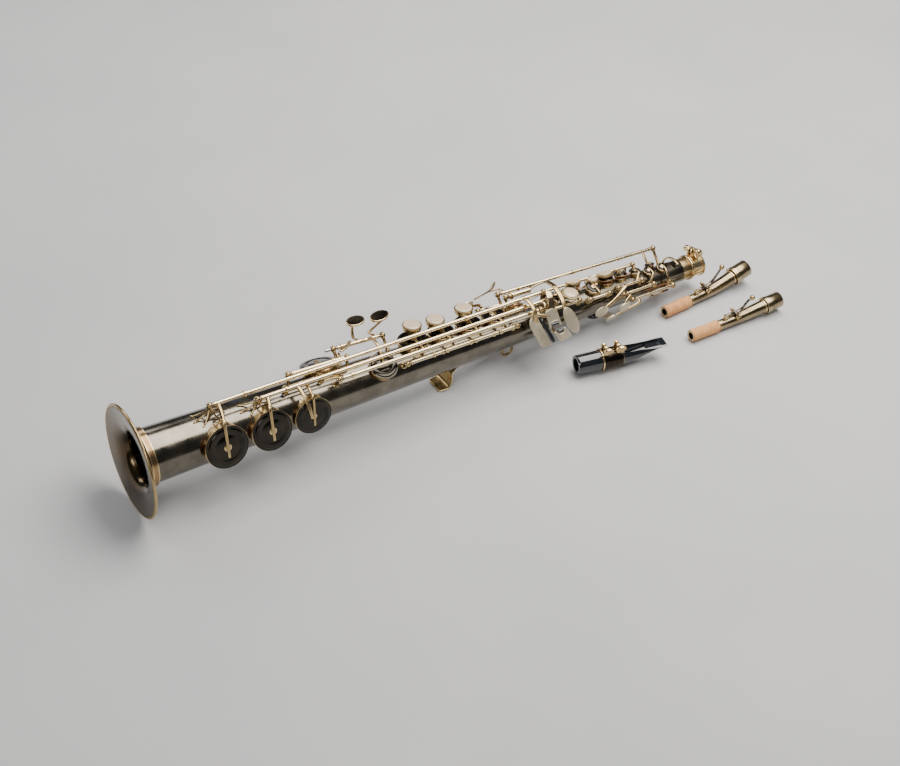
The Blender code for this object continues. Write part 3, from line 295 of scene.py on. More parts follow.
def sweep(points, width, thick, up=None, sides=14, steps=5, flat=2.6):
    """Rounded bar along a smooth path: width across, thick outwards, ends rounded off."""
    pts = [Vector(p) for p in points]
    n = len(pts)
    widths = list(width) if isinstance(width, (list, tuple)) else [width] * n
    thicks = list(thick) if isinstance(thick, (list, tuple)) else [thick] * n
    path = smooth_path(pts, widths, thicks, steps)
    power = 2.0 / flat
    section = [(math.copysign(abs(c) ** power, c), math.copysign(abs(d) ** power, d))
               for c, d in circle(sides, 0.5)]
    verts, rings = [], []
    last = len(path) - 1
    normal = None
    for i, (p, w, h) in enumerate(path):
        a, b = path[max(i - 1, 0)][0], path[min(i + 1, last)][0]
        t = (b - a).normalized()
        out = Vector(up) if up is not None else Vector((0, p.y, p.z)).normalized()
        n_i = out - t * out.dot(t)
        if n_i.length < 0.25 and normal is not None:
            n_i = normal - t * normal.dot(t)
        n_i.normalize()
        if normal is not None:
            n_i = (n_i + normal * 1.5)
            n_i = (n_i - t * n_i.dot(t)).normalized()
        normal = n_i
        s = t.cross(n_i)
        shells = [(0.0, 1.0)]
        if i == 0:
            shells = [(-0.30 * h, 0.45), (-0.22 * h, 0.8), (0.0, 1.0)]
        elif i == last:
            shells = [(0.0, 1.0), (0.22 * h, 0.8), (0.30 * h, 0.45)]
        for shift, scale in shells:
            rings.append(add_ring(verts, [p + t * shift + s * (0.5 * w * scale * x)
                                          + n_i * (0.5 * h * scale * y)
                                          for x, y in section]))
    return verts, capped(rings)


def arc(u0, r0, phi0, u1, r1, phi1, steps=5, bulge=0.0):
    """Points wound round the tube."""
    pts = []
    for k in range(steps + 1):
        t = k / steps
        r = r0 + (r1 - r0) * t + bulge * math.sin(math.pi * t)
        pts.append(at(u0 + (u1 - u0) * t, r, phi0 + (phi1 - phi0) * t))
    return pts


def ellipse(rx, ry, tilt=0.0, count=40):
    """Outline of a tilted ellipse about the origin."""
    c, s = math.cos(math.radians(tilt)), math.sin(math.radians(tilt))
    return [(rx * a * c - ry * b * s, rx * a * s + ry * b * c) for a, b in circle(count)]


def soft_outline(outline, r=1.0, steps=4):
    """Outline with every corner rounded by a small arc."""
    pts = [Vector(p) for p in outline]
    out = []
    n = len(pts)
    for i, p in enumerate(pts):
        a, b = pts[i - 1] - p, pts[(i + 1) % n] - p
        ra, rb = min(r, a.length * 0.45), min(r, b.length * 0.45)
        pa, pb = p + a.normalized() * ra, p + b.normalized() * rb
        for k in range(steps + 1):
            t = k / steps
            out.append(pa * (1 - t) ** 2 + p * 2 * t * (1 - t) + pb * t * t)
    return [(p.x, p.y) for p in out]


def offset_outline(outline, d):
    """Outline moved inwards by d."""
    pts = [Vector(p) for p in outline]
    area = sum(a.x * b.y - b.x * a.y for a, b in zip(pts, pts[1:] + pts[:1]))
    side = 1.0 if area > 0 else -1.0
    out = []
    n = len(pts)
    for i, p in enumerate(pts):
        t = (pts[(i + 1) % n] - pts[i - 1]).normalized()
        out.append((p.x - side * t.y * d, p.y + side * t.x * d))
    return out


def plate(outline, origin, ex, ey, thick, edge=0.35, dome=0.0, dish=0.0):
    """Plate grown along ex x ey with softened edges; its top may be domed or dished."""
    ex, ey = Vector(ex).normalized(), Vector(ey).normalized()
    n = ex.cross(ey)
    layers = [(0.0, edge), (edge, 0.0), (thick - edge, 0.0), (thick - edge * 0.3, edge * 0.3),
              (thick, edge)]
    verts, rings = [], []
    cx = sum(p[0] for p in outline) / len(outline)
    cy = sum(p[1] for p in outline) / len(outline)

    def put(pts, height):
        rings.append(add_ring(verts, [Vector(origin) + ex * x + ey * y + n * height for x, y in pts]))

    for height, inset in layers:
        put(offset_outline(outline, inset), height)
    if dome or dish:
        inner = offset_outline(outline, edge)
        for scale in (0.86, 0.66, 0.44, 0.22):
            rise = dome * (1 - scale * scale) - dish * (1 - scale ** 4)
            put([(cx + (x - cx) * scale, cy + (y - cy) * scale) for x, y in inner], thick + rise)
    return verts, capped(rings)


# ---------------------------------------------------------------- materials
def new_material(name):
    mat = bpy.data.materials.new(name)
    mat.use_nodes = True
    tree = mat.node_tree
    return mat, tree, tree.nodes["Principled BSDF"]


def ramp(tree, value, stops):
    node = tree.nodes.new("ShaderNodeValToRGB")
    while len(node.color_ramp.elements) < len(stops):
        node.color_ramp.elements.new(0.5)
    for element, (pos, colour) in zip(node.color_ramp.elements, stops):
        element.position = pos
        element.color = (*colour, 1.0)
    tree.links.new(value, node.inputs["Fac"])
    return node.outputs["Color"]


def noise(tree, scale, stretch=(1, 1, 1), detail=4.0, rough=0.55):
    coord = tree.nodes.new("ShaderNodeTexCoord")
    mapping = tree.nodes.new("ShaderNodeMapping")
    mapping.inputs["Scale"].default_value = stretch
    node = tree.nodes.new("ShaderNodeTexNoise")
    node.inputs["Scale"].default_value = scale
    node.inputs["Detail"].default_value = detail
    node.inputs["Roughness"].default_value = rough
    tree.links.new(coord.outputs["Object"], mapping.inputs["Vector"])
    tree.links.new(mapping.outputs["Vector"], node.inputs["Vector"])
    return node.outputs["Fac"]


def math_node(tree, op, a, b):
    node = tree.nodes.new("ShaderNodeMath")
    node.operation = op
    for socket, value in zip(node.inputs, (a, b)):
        if isinstance(value, (int, float)):
            socket.default_value = value
        else:
            tree.links.new(value, socket)
    return node.outputs[0]


def map_range(tree, value, low, high, to_low, to_high):
    node = tree.nodes.new("ShaderNodeMapRange")
    for socket, number in zip(list(node.inputs)[1:5], (low, high, to_low, to_high)):
        socket.default_value = number
    tree.links.new(value, node.inputs[0])
    return node.outputs[0]


def mix_colour(tree, factor, a, b):
    node = tree.nodes.new("ShaderNodeMix")
    node.data_type = "RGBA"
    tree.links.new(factor, node.inputs["Factor"])
    for socket, value in ((node.inputs[6], a), (node.inputs[7], b)):
        if isinstance(value, tuple):
            socket.default_value = (*value, 1.0)
        else:
            tree.links.new(value, socket)
    return node.outputs[2]


def bump(tree, shader, height, strength, distance):
    node = tree.nodes.new("ShaderNodeBump")
    node.inputs["Strength"].default_value = strength
    node.inputs["Distance"].default_value = distance
    tree.links.new(height, node.inputs["Height"])
    tree.links.new(node.outputs["Normal"], shader.inputs["Normal"])


def edge_wear(tree, low=0.52, high=0.62):
    """1 on convex edges, where the patina has rubbed off."""
    geometry = tree.nodes.new("ShaderNodeNewGeometry")
    return map_range(tree, geometry.outputs["Pointiness"], low, high, 0.0, 1.0)


def antique_metal(name, dark, light, wear, rough=(0.16, 0.30), edge=(0.505, 0.56), coat=0.0,
                  metallic=1.0):
    """Patinated, brushed and lacquered metal that brightens along its edges."""
    mat, tree, shader = new_material(name)
    clouds = noise(tree, 70.0, detail=5.0)
    brushed = noise(tree, 900.0, (0.06, 1, 1), detail=3.0)
    base = ramp(tree, clouds, [(0.32, dark), (0.72, light)])
    fine = map_range(tree, brushed, 0.3, 0.7, 0.0, 0.35)
    base = mix_colour(tree, fine, base, light)
    base = mix_colour(tree, edge_wear(tree, *edge), base, wear)
    tree.links.new(base, shader.inputs["Base Color"])
    shader.inputs["Metallic"].default_value = metallic
    tree.links.new(map_range(tree, clouds, 0.3, 0.7, *rough), shader.inputs["Roughness"])
    if coat:
        shader.inputs["Coat Weight"].default_value = coat
        shader.inputs["Coat Roughness"].default_value = 0.08
    bump(tree, shader, brushed, 0.06, 0.0002)
    return mat


def plain_gloss(name, colour, other, rough, scale=120.0, metallic=0.0, coat=0.0, bump_size=0.05):
    mat, tree, shader = new_material(name)
    spots = noise(tree, scale, detail=5.0)
    tree.links.new(ramp(tree, spots, [(0.35, colour), (0.7, other)]), shader.inputs["Base Color"])
    tree.links.new(map_range(tree, spots, 0.3, 0.7, rough, rough * 1.6), shader.inputs["Roughness"])
    shader.inputs["Metallic"].default_value = metallic
    if coat:
        shader.inputs["Coat Weight"].default_value = coat
        shader.inputs["Coat Roughness"].default_value = 0.06
    bump(tree, shader, spots, bump_size, 0.0003)
    return mat


def pearl_material():
    """Mother-of-pearl: cream with slow bands of pink and green."""
    mat, tree, shader = new_material("mother_of_pearl")
    swirl = noise(tree, 160.0, (1.0, 1.8, 1.0), detail=3.0)
    wave = tree.nodes.new("ShaderNodeTexWave")
    wave.inputs["Scale"].default_value = 60.0
    wave.inputs["Distortion"].default_value = 9.0
    wave.inputs["Detail"].default_value = 3.0
    coord = tree.nodes.new("ShaderNodeTexCoord")
    tree.links.new(coord.outputs["Object"], wave.inputs["Vector"])
    tint = ramp(tree, wave.outputs["Fac"], [(0.0, (0.62, 0.48, 0.29)), (0.5, (0.70, 0.58, 0.38)),
                                              (1.0, (0.60, 0.52, 0.35))])
    base = mix_colour(tree, map_range(tree, swirl, 0.4, 0.7, 0.0, 0.6), tint, (0.68, 0.50, 0.34))
    tree.links.new(base, shader.inputs["Base Color"])
    shader.inputs["Roughness"].default_value = 0.22
    shader.inputs["Coat Weight"].default_value = 0.6
    shader.inputs["Coat Roughness"].default_value = 0.08
    shader.inputs["Sheen Weight"].default_value = 0.15
    bump(tree, shader, swirl, 0.08, 0.0003)
    return mat


def cork_material():
    mat, tree, shader = new_material("neck_cork")
    cells = tree.nodes.new("ShaderNodeTexVoronoi")
    cells.inputs["Scale"].default_value = 620.0
    coord = tree.nodes.new("ShaderNodeTexCoord")
    tree.links.new(coord.outputs["Object"], cells.inputs["Vector"])
    grain = noise(tree, 260.0, detail=6.0, rough=0.7)
    base = ramp(tree, grain, [(0.25, (0.46, 0.19, 0.055)), (0.5, (0.70, 0.34, 0.13)),
                              (0.75, (0.80, 0.45, 0.20))])
    pits = map_range(tree, cells.outputs["Distance"], 0.0, 0.35, 0.65, 0.0)
    base = mix_colour(tree, math_node(tree, "MULTIPLY", pits, grain), base, (0.32, 0.15, 0.07))
    tree.links.new(base, shader.inputs["Base Color"])
    shader.inputs["Roughness"].default_value = 0.82
    bump(tree, shader, math_node(tree, "ADD", grain, cells.outputs["Distance"]), 0.35, 0.0004)
    return mat


def leather_material():
    mat, tree, shader = new_material("pad_leather")
    grain = noise(tree, 700.0, detail=5.0)
    tree.links.new(ramp(tree, grain, [(0.3, (0.42, 0.12, 0.045)), (0.7, (0.66, 0.25, 0.10))]),
                   shader.inputs["Base Color"])
    shader.inputs["Roughness"].default_value = 0.55
    bump(tree, shader, grain, 0.25, 0.0003)
    return mat


def floor_material():
    mat, tree, shader = new_material("studio_floor")
    grain = noise(tree, 5.0, detail=2.0)
    tree.links.new(ramp(tree, grain, [(0.3, (0.50, 0.50, 0.505)), (0.7, (0.54, 0.54, 0.54))]),
                   shader.inputs["Base Color"])
    shader.inputs["Roughness"].default_value = 0.75
    return mat


# Patinated metals: name, dark and light patina, bare edge, roughness, range of edges, coat, metallic
METALS = {
    "tube": ("antique_bronze", (0.085, 0.073, 0.056), (0.200, 0.175, 0.133),
             (0.60, 0.47, 0.28), (0.15, 0.26), (0.54, 0.66), 0.4),
    "cup": ("cup_black_nickel", (0.012, 0.011, 0.009), (0.036, 0.030, 0.021),
            (0.50, 0.38, 0.20), (0.12, 0.22), (0.57, 0.70), 0.3),
    "gold": ("antique_gold", (0.22, 0.145, 0.060), (0.44, 0.315, 0.140),
             (0.82, 0.62, 0.33), (0.20, 0.34), (0.51, 0.58)),
    "silver": ("rod_nickel", (0.33, 0.24, 0.125), (0.54, 0.42, 0.245),
               (0.84, 0.70, 0.46), (0.14, 0.24), (0.52, 0.60)),
    "plate": ("plate_brushed", (0.44, 0.37, 0.25), (0.68, 0.60, 0.45),
              (0.86, 0.74, 0.50), (0.24, 0.36), (0.51, 0.58), 0.0, 0.62),
    "leaf": ("leaf_bronze", (0.050, 0.040, 0.026), (0.140, 0.112, 0.070),
             (0.82, 0.62, 0.32), (0.18, 0.30), (0.506, 0.545)),
    "brass": ("bright_brass", (0.38, 0.25, 0.10), (0.56, 0.40, 0.19),
              (0.86, 0.66, 0.36), (0.16, 0.28), (0.51, 0.58)),
    "bell": ("bell_bronze", (0.050, 0.034, 0.018), (0.13, 0.085, 0.040),
             (0.60, 0.44, 0.22), (0.16, 0.28), (0.53, 0.64), 0.3),
    "neck": ("neck_bronze", (0.19, 0.145, 0.080), (0.36, 0.28, 0.16),
             (0.66, 0.53, 0.31), (0.18, 0.30), (0.52, 0.60), 0.2),
    "ligature": ("ligature_band", (0.018, 0.015, 0.011), (0.050, 0.040, 0.028),
                 (0.66, 0.52, 0.30), (0.16, 0.26), (0.54, 0.64)),
    "band": ("ring_band", (0.060, 0.030, 0.015), (0.120, 0.064, 0.032),
             (0.45, 0.28, 0.14), (0.2, 0.3), (0.53, 0.62)),
}


def make_materials():
    mats = {key: antique_metal(*row) for key, row in METALS.items()}
    mats |= {
        "spring": plain_gloss("blued_steel", (0.010, 0.018, 0.055), (0.03, 0.05, 0.12), 0.18,
                              metallic=1.0),
        "steel": plain_gloss("screw_steel", (0.42, 0.41, 0.40), (0.55, 0.54, 0.52), 0.2, metallic=1.0),
        "pearl": pearl_material(),
        "black": plain_gloss("roller_resin", (0.008, 0.008, 0.009), (0.020, 0.020, 0.022), 0.14,
                             coat=0.4),
        "ebonite": plain_gloss("ebonite", (0.006, 0.008, 0.010), (0.012, 0.014, 0.016), 0.07, 60.0,
                               coat=0.8, bump_size=0.02),
        "cork": cork_material(),
        "pad": leather_material(),
    }
    return mats


MATS = {}
HORN = horn_matrix()


def orient(mesh):
    """Every closed shell faces outwards."""
    bm = bmesh.new()
    bm.from_mesh(mesh)
    bmesh.ops.recalc_face_normals(bm, faces=bm.faces)
    bm.to_mesh(mesh)
    bm.free()


def piece(name, body, shape, mats, node=None, matrix=None, angle=SHARP):
    """One visible piece, placed, riding on its body and standing for a CAD node."""
    matrix = HORN if matrix is None else matrix
    mesh = bpy.data.meshes.new(name)
    mesh.from_pydata([tuple(matrix @ (v * MM)) for v in shape.verts], [], shape.faces)
    mesh.polygons.foreach_set("material_index", shape.mats)
    for key in mats:
        mesh.materials.append(MATS[key])
    orient(mesh)
    mesh.polygons.foreach_set("use_smooth", [True] * len(mesh.polygons))
    mesh.set_sharp_from_angle(angle=math.radians(angle))
    mesh.update()
    obj = bpy.data.objects.new(name, mesh)
    bpy.context.collection.objects.link(obj)
    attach(obj, body)
    if node:
        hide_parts(node)
    return obj


# ---------------------------------------------------------------- key parts
KEY_MATS = ("silver", "gold", "cup", "pad", "plate", "leaf")
SILVER, GOLD, CUP, PAD, FLAT, LEAF = range(6)
SEAT_DROP = 3.0  # pearl seats sit this far below the top of their pearl


def rod_bar(shape, name, radius=ROD):
    """A key's hinge tube with a narrow collar at each end and the pivot rod showing."""
    p, q = line_of(name)
    d = (q - p).normalized()
    shape.add(bar(p, q, radius, 28, 0.25), SILVER)
    for start, way in ((p, d), (q, -d)):
        shape.add(bar(start + way * 0.5, start + way * 1.7, radius + 0.28, 28, 0.2), GOLD)
    return shape


def collar(shape, name, u, radius=2.5, length=2.0):
    """Thicker ring on a hinge tube, with a bead on each side."""
    _, r, phi = rod_point(name, u)
    p, q = line_of(name)
    d = (q - p).normalized() * (length / 2)
    c = at(u, r, phi)
    shape.add(bar(c - d, c + d, radius, 32, 0.35), GOLD)
    for way in (-1, 1):
        bead = c + d * way * 1.25
        shape.add(bar(bead - d * 0.16, bead + d * 0.16, radius - 0.45, 32, 0.05), GOLD)


def cup(shape, key):
    """Pad cup: leather pad, bright lower bead, stepped patinated top with a turned ring."""
    u, phi, big, stands = HOLES[key]
    sides = 96 if big > 12 else 72
    place = (at(u, cup_h(key), phi), radial(phi), sides)
    deep = 1.05 if stands else 0.6
    low = -0.2 if stands else -0.12
    shape.add(lathe([(0, low), (big - 0.8, low), (big - 0.42, low + 0.12), (big - 0.3, 0.2),
                     (big - 0.3, 0.5), (big - 0.62, 0.56), (big - 0.62, deep), (0, deep)], *place), PAD)
    shape.add(lathe([(big - 0.9, 0.55), (big - 0.2, 0.5), (big - 0.03, 0.62), (big, 0.76),
                     (big - 0.04, 0.9), (big - 0.22, 1.0), (big - 0.9, 1.05)], *place, loop=True), GOLD)
    outer = [(0, deep - 0.1), (big - 0.95, deep - 0.1), (big - 0.3, 0.9), (big - 0.24, 1.3),
             (big - 0.42, 1.52), (big * 0.90, 1.60)]
    crown = [(big * 0.872, 1.66), (big * 0.856, 1.80), (big * 0.846, 2.02), (big * 0.82, 2.14),
             (big * 0.79, 2.17)]
    inner = [(big * 0.60, 2.17), (big * 0.585, 2.08), (big * 0.565, 2.08), (big * 0.55, 2.18),
             (0, CUP_T)]
    shape.add(lathe(outer + crown + inner, *place), CUP)


def arm_points(key, u0, r0, phi0, reach):
    """From a rod, over the edge of a closed cup, to its middle."""
    u, phi, radius, _ = HOLES[key]
    top = cup_h(key) + CUP_T
    side = 1.0 if phi > phi0 else -1.0
    t = tangent(phi) * side
    n = radial(phi)
    near = Vector((u, 0, 0)) + n * (top + 0.5) - t * radius * 0.7
    far = Vector((u, 0, 0)) + n * (top + 0.3) + t * radius * reach
    edge_r, edge_phi = polar(n * (top + 0.5) - t * radius)
    near_r, near_phi = polar(near)
    if r0 < edge_r + 1.5 and (phi0 - edge_phi) * side < 0:
        pts = arc(u0, r0, phi0, u, edge_r, edge_phi, 3)
    else:
        pts = arc(u0, r0, phi0, u, near_r, near_phi, 4)
    return pts + [far]


def cup_arm(shape, key, u0, r0, phi0, reach=0.45, width=3.4, thick=1.7):
    """A cup, and the arm that carries it from its rod."""
    pts = arm_points(key, u0, r0, phi0, reach)
    count = len(pts)
    widths = [width * (1.12 - 0.42 * i / (count - 1)) for i in range(count)]
    shape.add(sweep(pts, widths, thick, None, 16, 6, 2.3), GOLD)
    u, phi, _, _ = HOLES[key]
    seat = Vector((u, 0, 0)) + radial(phi) * (cup_h(key) + CUP_T - 0.25)
    shape.add(lathe([(0, 0), (width * 0.95, 0), (width * 0.92, 0.35), (width * 0.6, 0.7), (0, 0.75)],
                    seat, radial(phi), 36), GOLD)
    cup(shape, key)


def key_sign(name, key):
    return 1.0 if HOLES[key][1] > RODS[name][3] else -1.0


def opened(shape, name, key):
    """Turn a key about its rod as far as its cup stands open."""
    return shape.turn(line_of(name), -key_sign(name, key) * HOLES[key][3])


def pearl_seat(shape, u, r_base, r_top, phi, radius, tilt, deep=1.6):
    """Cup that holds a pearl, on a turned foot."""
    axis = radial(phi + tilt)
    base = at(u, r_top, phi) - axis * SEAT_DROP
    foot = base - axis * (r_top - SEAT_DROP - r_base)
    low = radius * 0.94
    shape.add(lathe([(0, -deep), (low - 0.5, -deep), (low, -deep + 0.4), (radius, 0.2), (radius, 0.95),
                     (radius - 0.12, 1.18), (radius - 0.5, 1.2), (radius - 0.62, 1.05),
                     (radius - 0.7, 0.0), (0, 0.0)], base, axis, 64), GOLD)
    length = (base - foot).length
    shape.add(lathe([(0, 0), (2.7, 0), (2.5, 0.3), (2.0, length * 0.4), (2.1, length * 0.7),
                     (2.8, length - 0.4), (0, length - 0.4)], foot, axis, 32), GOLD)


def pearl(u, r_top, phi, radius, tilt):
    axis = radial(phi + tilt)
    base = at(u, r_top, phi) - axis * SEAT_DROP
    rr = radius - 0.7 - GAP
    quarter = [math.pi / 2 * k / 10 for k in range(10)]
    crown = [(rr * math.cos(a), 1.75 + 0.9 * math.sin(a)) for a in quarter]
    return lathe([(0, GAP), (rr - 0.2, GAP), (rr, 0.5), (rr, 1.5)] + crown + [(0, 2.68)], base,
                 axis, 64)


def key_piece(name, shape):
    return piece(name + ".fine", name, shape, KEY_MATS, name)


def table_plate(shape, outline, thick=PLATE, lift=0.0, corner=1.3):
    n = radial(TABLE_PHI)
    soft = soft_outline(outline, corner, 5)
    shape.add(plate(soft, n * (TABLE_H - thick + lift), AXIAL, -tangent(TABLE_PHI), thick, 0.4, 0.0,
                    0.12), FLAT)


def touch(shape, size, place, phi, dome, thick=1.5):
    """Oval finger touch; size gives its two radii, tilt and number of sides."""
    shape.add(plate(ellipse(*size), place, AXIAL, -tangent(phi), thick, 0.4, dome), FLAT)


# ---------------------------------------------------------------- body
POSTS = [
    (66.0, 33.0, 22.5), (379.2, 33.0, 22.5), (103.5, 30.5, 35.5), (379.2, 30.5, 35.5),
    (173.5, 30.5, 48.0), (369.0, 30.5, 48.0), (137.0, 31.0, 11.0), (190.5, 28.8, 11.0),
    (189.4, 32.3, -30.0), (235.2, 30.2, -30.0), (236.5, 25.0, 59.5), (346.0, 22.7, 59.5),
    (352.5, 28.0, -12.0),
]
END_POSTS = ("low_cs_key", "gs_key", "g_key", "a_key", "bis_key", "c_key", "palm_d_key", "palm_eb_key",
             "palm_f_key", "side_e_key", "side_c_key", "side_bb_key", "high_fs_key", "octave_lever")
FAN_POSTS = (0, 2)
POST_GAP = 3.1  # from the end of a rod to the middle of its post
TUBE, STEEL, SPRING = 0, 2, 3


def post(shape, u, r, phi, fan=False):
    """Turned post with a ball head, on a round foot or on splayed legs."""
    base = tube_r(u) - 0.6
    high = r - base
    foot = [(0, 0), (2.7, 0), (2.75, 0.9), (2.5, 1.2), (1.7, 1.5), (1.45, 2.1)]
    if fan:
        foot = [(0, 0), (1.5, 0), (1.4, 1.5)]
    neck = [(1.3, high * 0.5), (1.25, high - 3.4), (1.55, high - 2.9), (1.55, high - 2.5)]
    head = []
    for k in range(3, 17):
        t = math.pi * k / 16
        head.append((BALL * math.sin(t) if k < 16 else 0.0, high - BALL * math.cos(t)))
    head = [(a, b) for a, b in head if b > high - 2.3]
    if high < 6.0:
        neck = [(1.3, high - 2.6)]
        foot = foot[:4]
    shape.add(lathe(foot + neck + head, at(u, base, phi), radial(phi), 32), GOLD)
    for way in (-1, 1):
        c = at(u, r, phi) + Vector((way * (BALL - 0.35), 0, 0))
        shape.add(lathe([(0, 0), (1.25, 0), (1.25, 0.32), (1.0, 0.42), (0, 0.42)], c, (way, 0, 0),
                        24), STEEL)
    if fan:
        top = at(u, r - 3.2, phi)
        spread = ((-10.5, -13.0), (-11.5, 4.0), (-7.0, 18.0), (9.0, -14.0), (10.5, 3.0), (6.5, 17.0))
        for du, dphi in spread:
            low_r = tube_r(u + du)
            mid = at(u + du * 0.45, base + high * 0.36, phi + dphi * 0.45)
            tip = at(u + du, low_r + 0.55, phi + dphi)
            curl = at(u + du * 1.22, low_r + 1.0, phi + dphi * 1.12)
            shape.add(sweep([top, mid, tip, curl], [1.2, 1.5, 1.8, 1.0], [1.1, 0.9, 0.8, 0.7], None, 12,
                            6), GOLD)


def tube_wall(shape):
    """Thin conical wall, open under every tone hole."""
    rows, sides = 360, 144
    u0, u1 = BELL_END + GAP, TUBE_END

    def in_hole(u, r, a):
        p = at(u, r, a)
        for hu, hphi, hr, _ in HOLES.values():
            if abs(u - hu) > hr:
                continue
            n = radial(hphi)
            side = p - Vector((hu, 0, 0))
            if side.dot(n) > 0 and (side - n * side.dot(n)).length < hr - 1.9:
                return True
        return False

    for wall, count, around in ((0.0, rows, sides), (WALL, 120, 72)):
        verts, faces = [], []
        for i in range(count + 1):
            u = u0 + (u1 - u0) * i / count
            for k in range(around):
                verts.append(at(u, tube_r(u) - wall, 360.0 * k / around))
        for i in range(count):
            um = u0 + (u1 - u0) * (i + 0.5) / count
            for k in range(around):
                if in_hole(um, tube_r(um) - wall, 360.0 * (k + 0.5) / around):
                    continue
                m = (k + 1) % around
                a, b = i * around, (i + 1) * around
                quad = (a + k, b + k, b + m, a + m)
                faces.append(quad if wall else tuple(reversed(quad)))
        shape.add((verts, faces), TUBE)
    for u in (u0, u1):
        r = tube_r(u)
        shape.add(lathe([(r - WALL, -0.02), (r, -0.02), (r, 0.02), (r - WALL, 0.02)], (u, 0, 0), AXIAL,
                        96, True), TUBE)


def chimney(shape, key):
    """Drawn and rolled tone-hole rim."""
    u, phi, radius, _ = HOLES[key]
    top = chimney_h(key)
    wide, hole = radius - 1.2, radius - 2.6
    low = math.sqrt(max(tube_r(u) ** 2 - wide ** 2, 4.0)) - 1.2
    edge = tube_r(u)
    profile = [(hole, low), (wide, low), (wide + 0.05, edge - 0.5), (wide, top - 1.1),
               (wide + 0.28, top - 0.75), (wide + 0.34, top - 0.4), (wide + 0.12, top - 0.08),
               (wide - 0.3, top), (hole + 0.25, top), (hole, top - 0.3)]
    shape.add(lathe(profile, (u, 0, 0), radial(phi), 96 if radius > 12 else 72, loop=True), GOLD)


def needle(shape, name, u_from, u_to, side=3.0, drop=2.2):
    """Blued needle spring from a post towards its key."""
    _, r, phi = rod_point(name, u_from)
    a = at(u_from, r - drop, phi) + tangent(phi) * side * 0.3
    b = at(u_to, r - drop * 0.7, phi) + tangent(phi) * side
    c = (a + b) / 2 + tangent(phi) * side * 0.25
    shape.add(sweep([a, c, b], [0.6, 0.5, 0.35], [0.6, 0.5, 0.35], None, 8, 4, 2.0), SPRING)


def build_body():
    shape = Shape()
    tube_wall(shape)
    for key in HOLES:
        chimney(shape, key)
    for i, place in enumerate(POSTS):
        post(shape, *place, fan=i in FAN_POSTS)
    for name in END_POSTS:
        u0, u1, r0, phi0, r1, phi1 = RODS[name]
        post(shape, u0 - POST_GAP, r0, phi0)
        post(shape, u1 + POST_GAP, r1, phi1)
    u0, _, r0, phi0, _, _ = RODS["b_key"]
    post(shape, u0 - POST_GAP, r0, phi0)
    shape.add(bar(at(182.0, 32.6, -30.0), at(189.4, 32.3, -30.0), 1.3, 24), STEEL)
    for name, a, b in (("low_bb_key", 70.0, 92.0), ("low_b_key", 107.0, 126.0),
                       ("low_c_key", 186.0, 170.0), ("d_key", 240.0, 255.0), ("f_key", 325.0, 312.0),
                       ("low_bb_key", 374.0, 352.0), ("low_b_key", 374.0, 352.0),
                       ("g_key", 412.0, 398.0), ("b_key", 456.0, 448.0), ("palm_d_key", 463.0, 476.0),
                       ("palm_f_key", 478.0, 496.0)):
        needle(shape, name, a, b)
    piece("body_tube.fine", "horn", shape, ("tube", "gold", "steel", "spring"), "body_tube")


def build_bell():
    r0 = tube_r(0)
    outer = [(r0 + 1.1, 14.4), (r0 + 1.1, 9.0)]
    flare = [(23.3, 8.55), (24.6, 6.8), (27.6, 4.9), (32.4, 3.3), (38.4, 2.2), (44.6, 1.55)]
    inner = [(44.2, -0.05), (38.0, 0.75), (31.6, 1.85), (26.6, 3.45), (23.4, 5.45), (21.9, 7.85),
             (21.4, 9.8)]

    def fine(points):
        path = smooth_path([Vector((a, b, 0)) for a, b in points], [1] * len(points),
                           [1] * len(points), 8)
        return [(p.x, p.y) for p, _, _ in path]

    rim = []
    for k in range(13):
        t = math.radians(105 - 225 * k / 12)
        rim.append((45.58 + 1.33 * math.cos(t), 1.10 + 1.22 * math.sin(t)))
    seat = tube_r(BELL_END) + GAP
    socket = [(21.3, BELL_END - 0.2), (seat, BELL_END), (seat, 14.4)]
    shell = Shape()
    skin = outer + fine(flare) + [(44.9, 1.55)]
    shell.add(lathe(skin + [(44.6, 0.4)] + fine(inner) + socket, ORIGIN, AXIAL, 192, loop=True), 0)
    shell.add(lathe(rim, ORIGIN, AXIAL, 192, loop=True), 1)
    for u in (9.0, 13.4):
        shell.add(lathe([(r0 + 0.9, u), (r0 + 1.3, u + 0.15), (r0 + 1.3, u + 0.75), (r0 + 0.9, u + 0.9)],
                        ORIGIN, AXIAL, 160, loop=True), 1)
    shell.add(lathe([(r0 + 0.9, 9.8), (r0 + 1.14, 9.9), (r0 + 1.14, 13.3), (r0 + 0.9, 13.4)],
                    ORIGIN, AXIAL, 160, loop=True), 2)
    piece("bell.fine", "horn", shell, ("bell", "gold", "band"), "bell", angle=50)


def bore_cut(obj, cutters, matrix):
    """Cut solids out of a piece and keep its materials."""
    for solid in cutters:
        verts, faces = solid
        mesh = bpy.data.meshes.new("cut")
        mesh.from_pydata([tuple(matrix @ (v * MM)) for v in verts], [], faces)
        other = bpy.data.objects.new("cut", mesh)
        bpy.context.collection.objects.link(other)
        orient(mesh)
        mod = obj.modifiers.new("cut", "BOOLEAN")
        mod.operation = "DIFFERENCE"
        mod.solver = "EXACT"
        mod.use_self = True
        mod.object = other
        bpy.context.view_layer.update()
        deps = bpy.context.evaluated_depsgraph_get()
        result = bpy.data.meshes.new_from_object(obj.evaluated_get(deps))
        obj.modifiers.clear()
        old = obj.data
        obj.data = result
        bpy.data.meshes.remove(old)
        bpy.data.objects.remove(other)
        bpy.data.meshes.remove(mesh)


def cut_piece(node, body, shape, mats, cutters, matrix, angle=SHARP):
    """A piece with solids cut out of it."""
    obj = piece(f"{node}.fine", body, shape, mats, None, matrix)
    bore_cut(obj, cutters, matrix)
    obj.data.set_sharp_from_angle(angle=math.radians(angle))
    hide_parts(node)


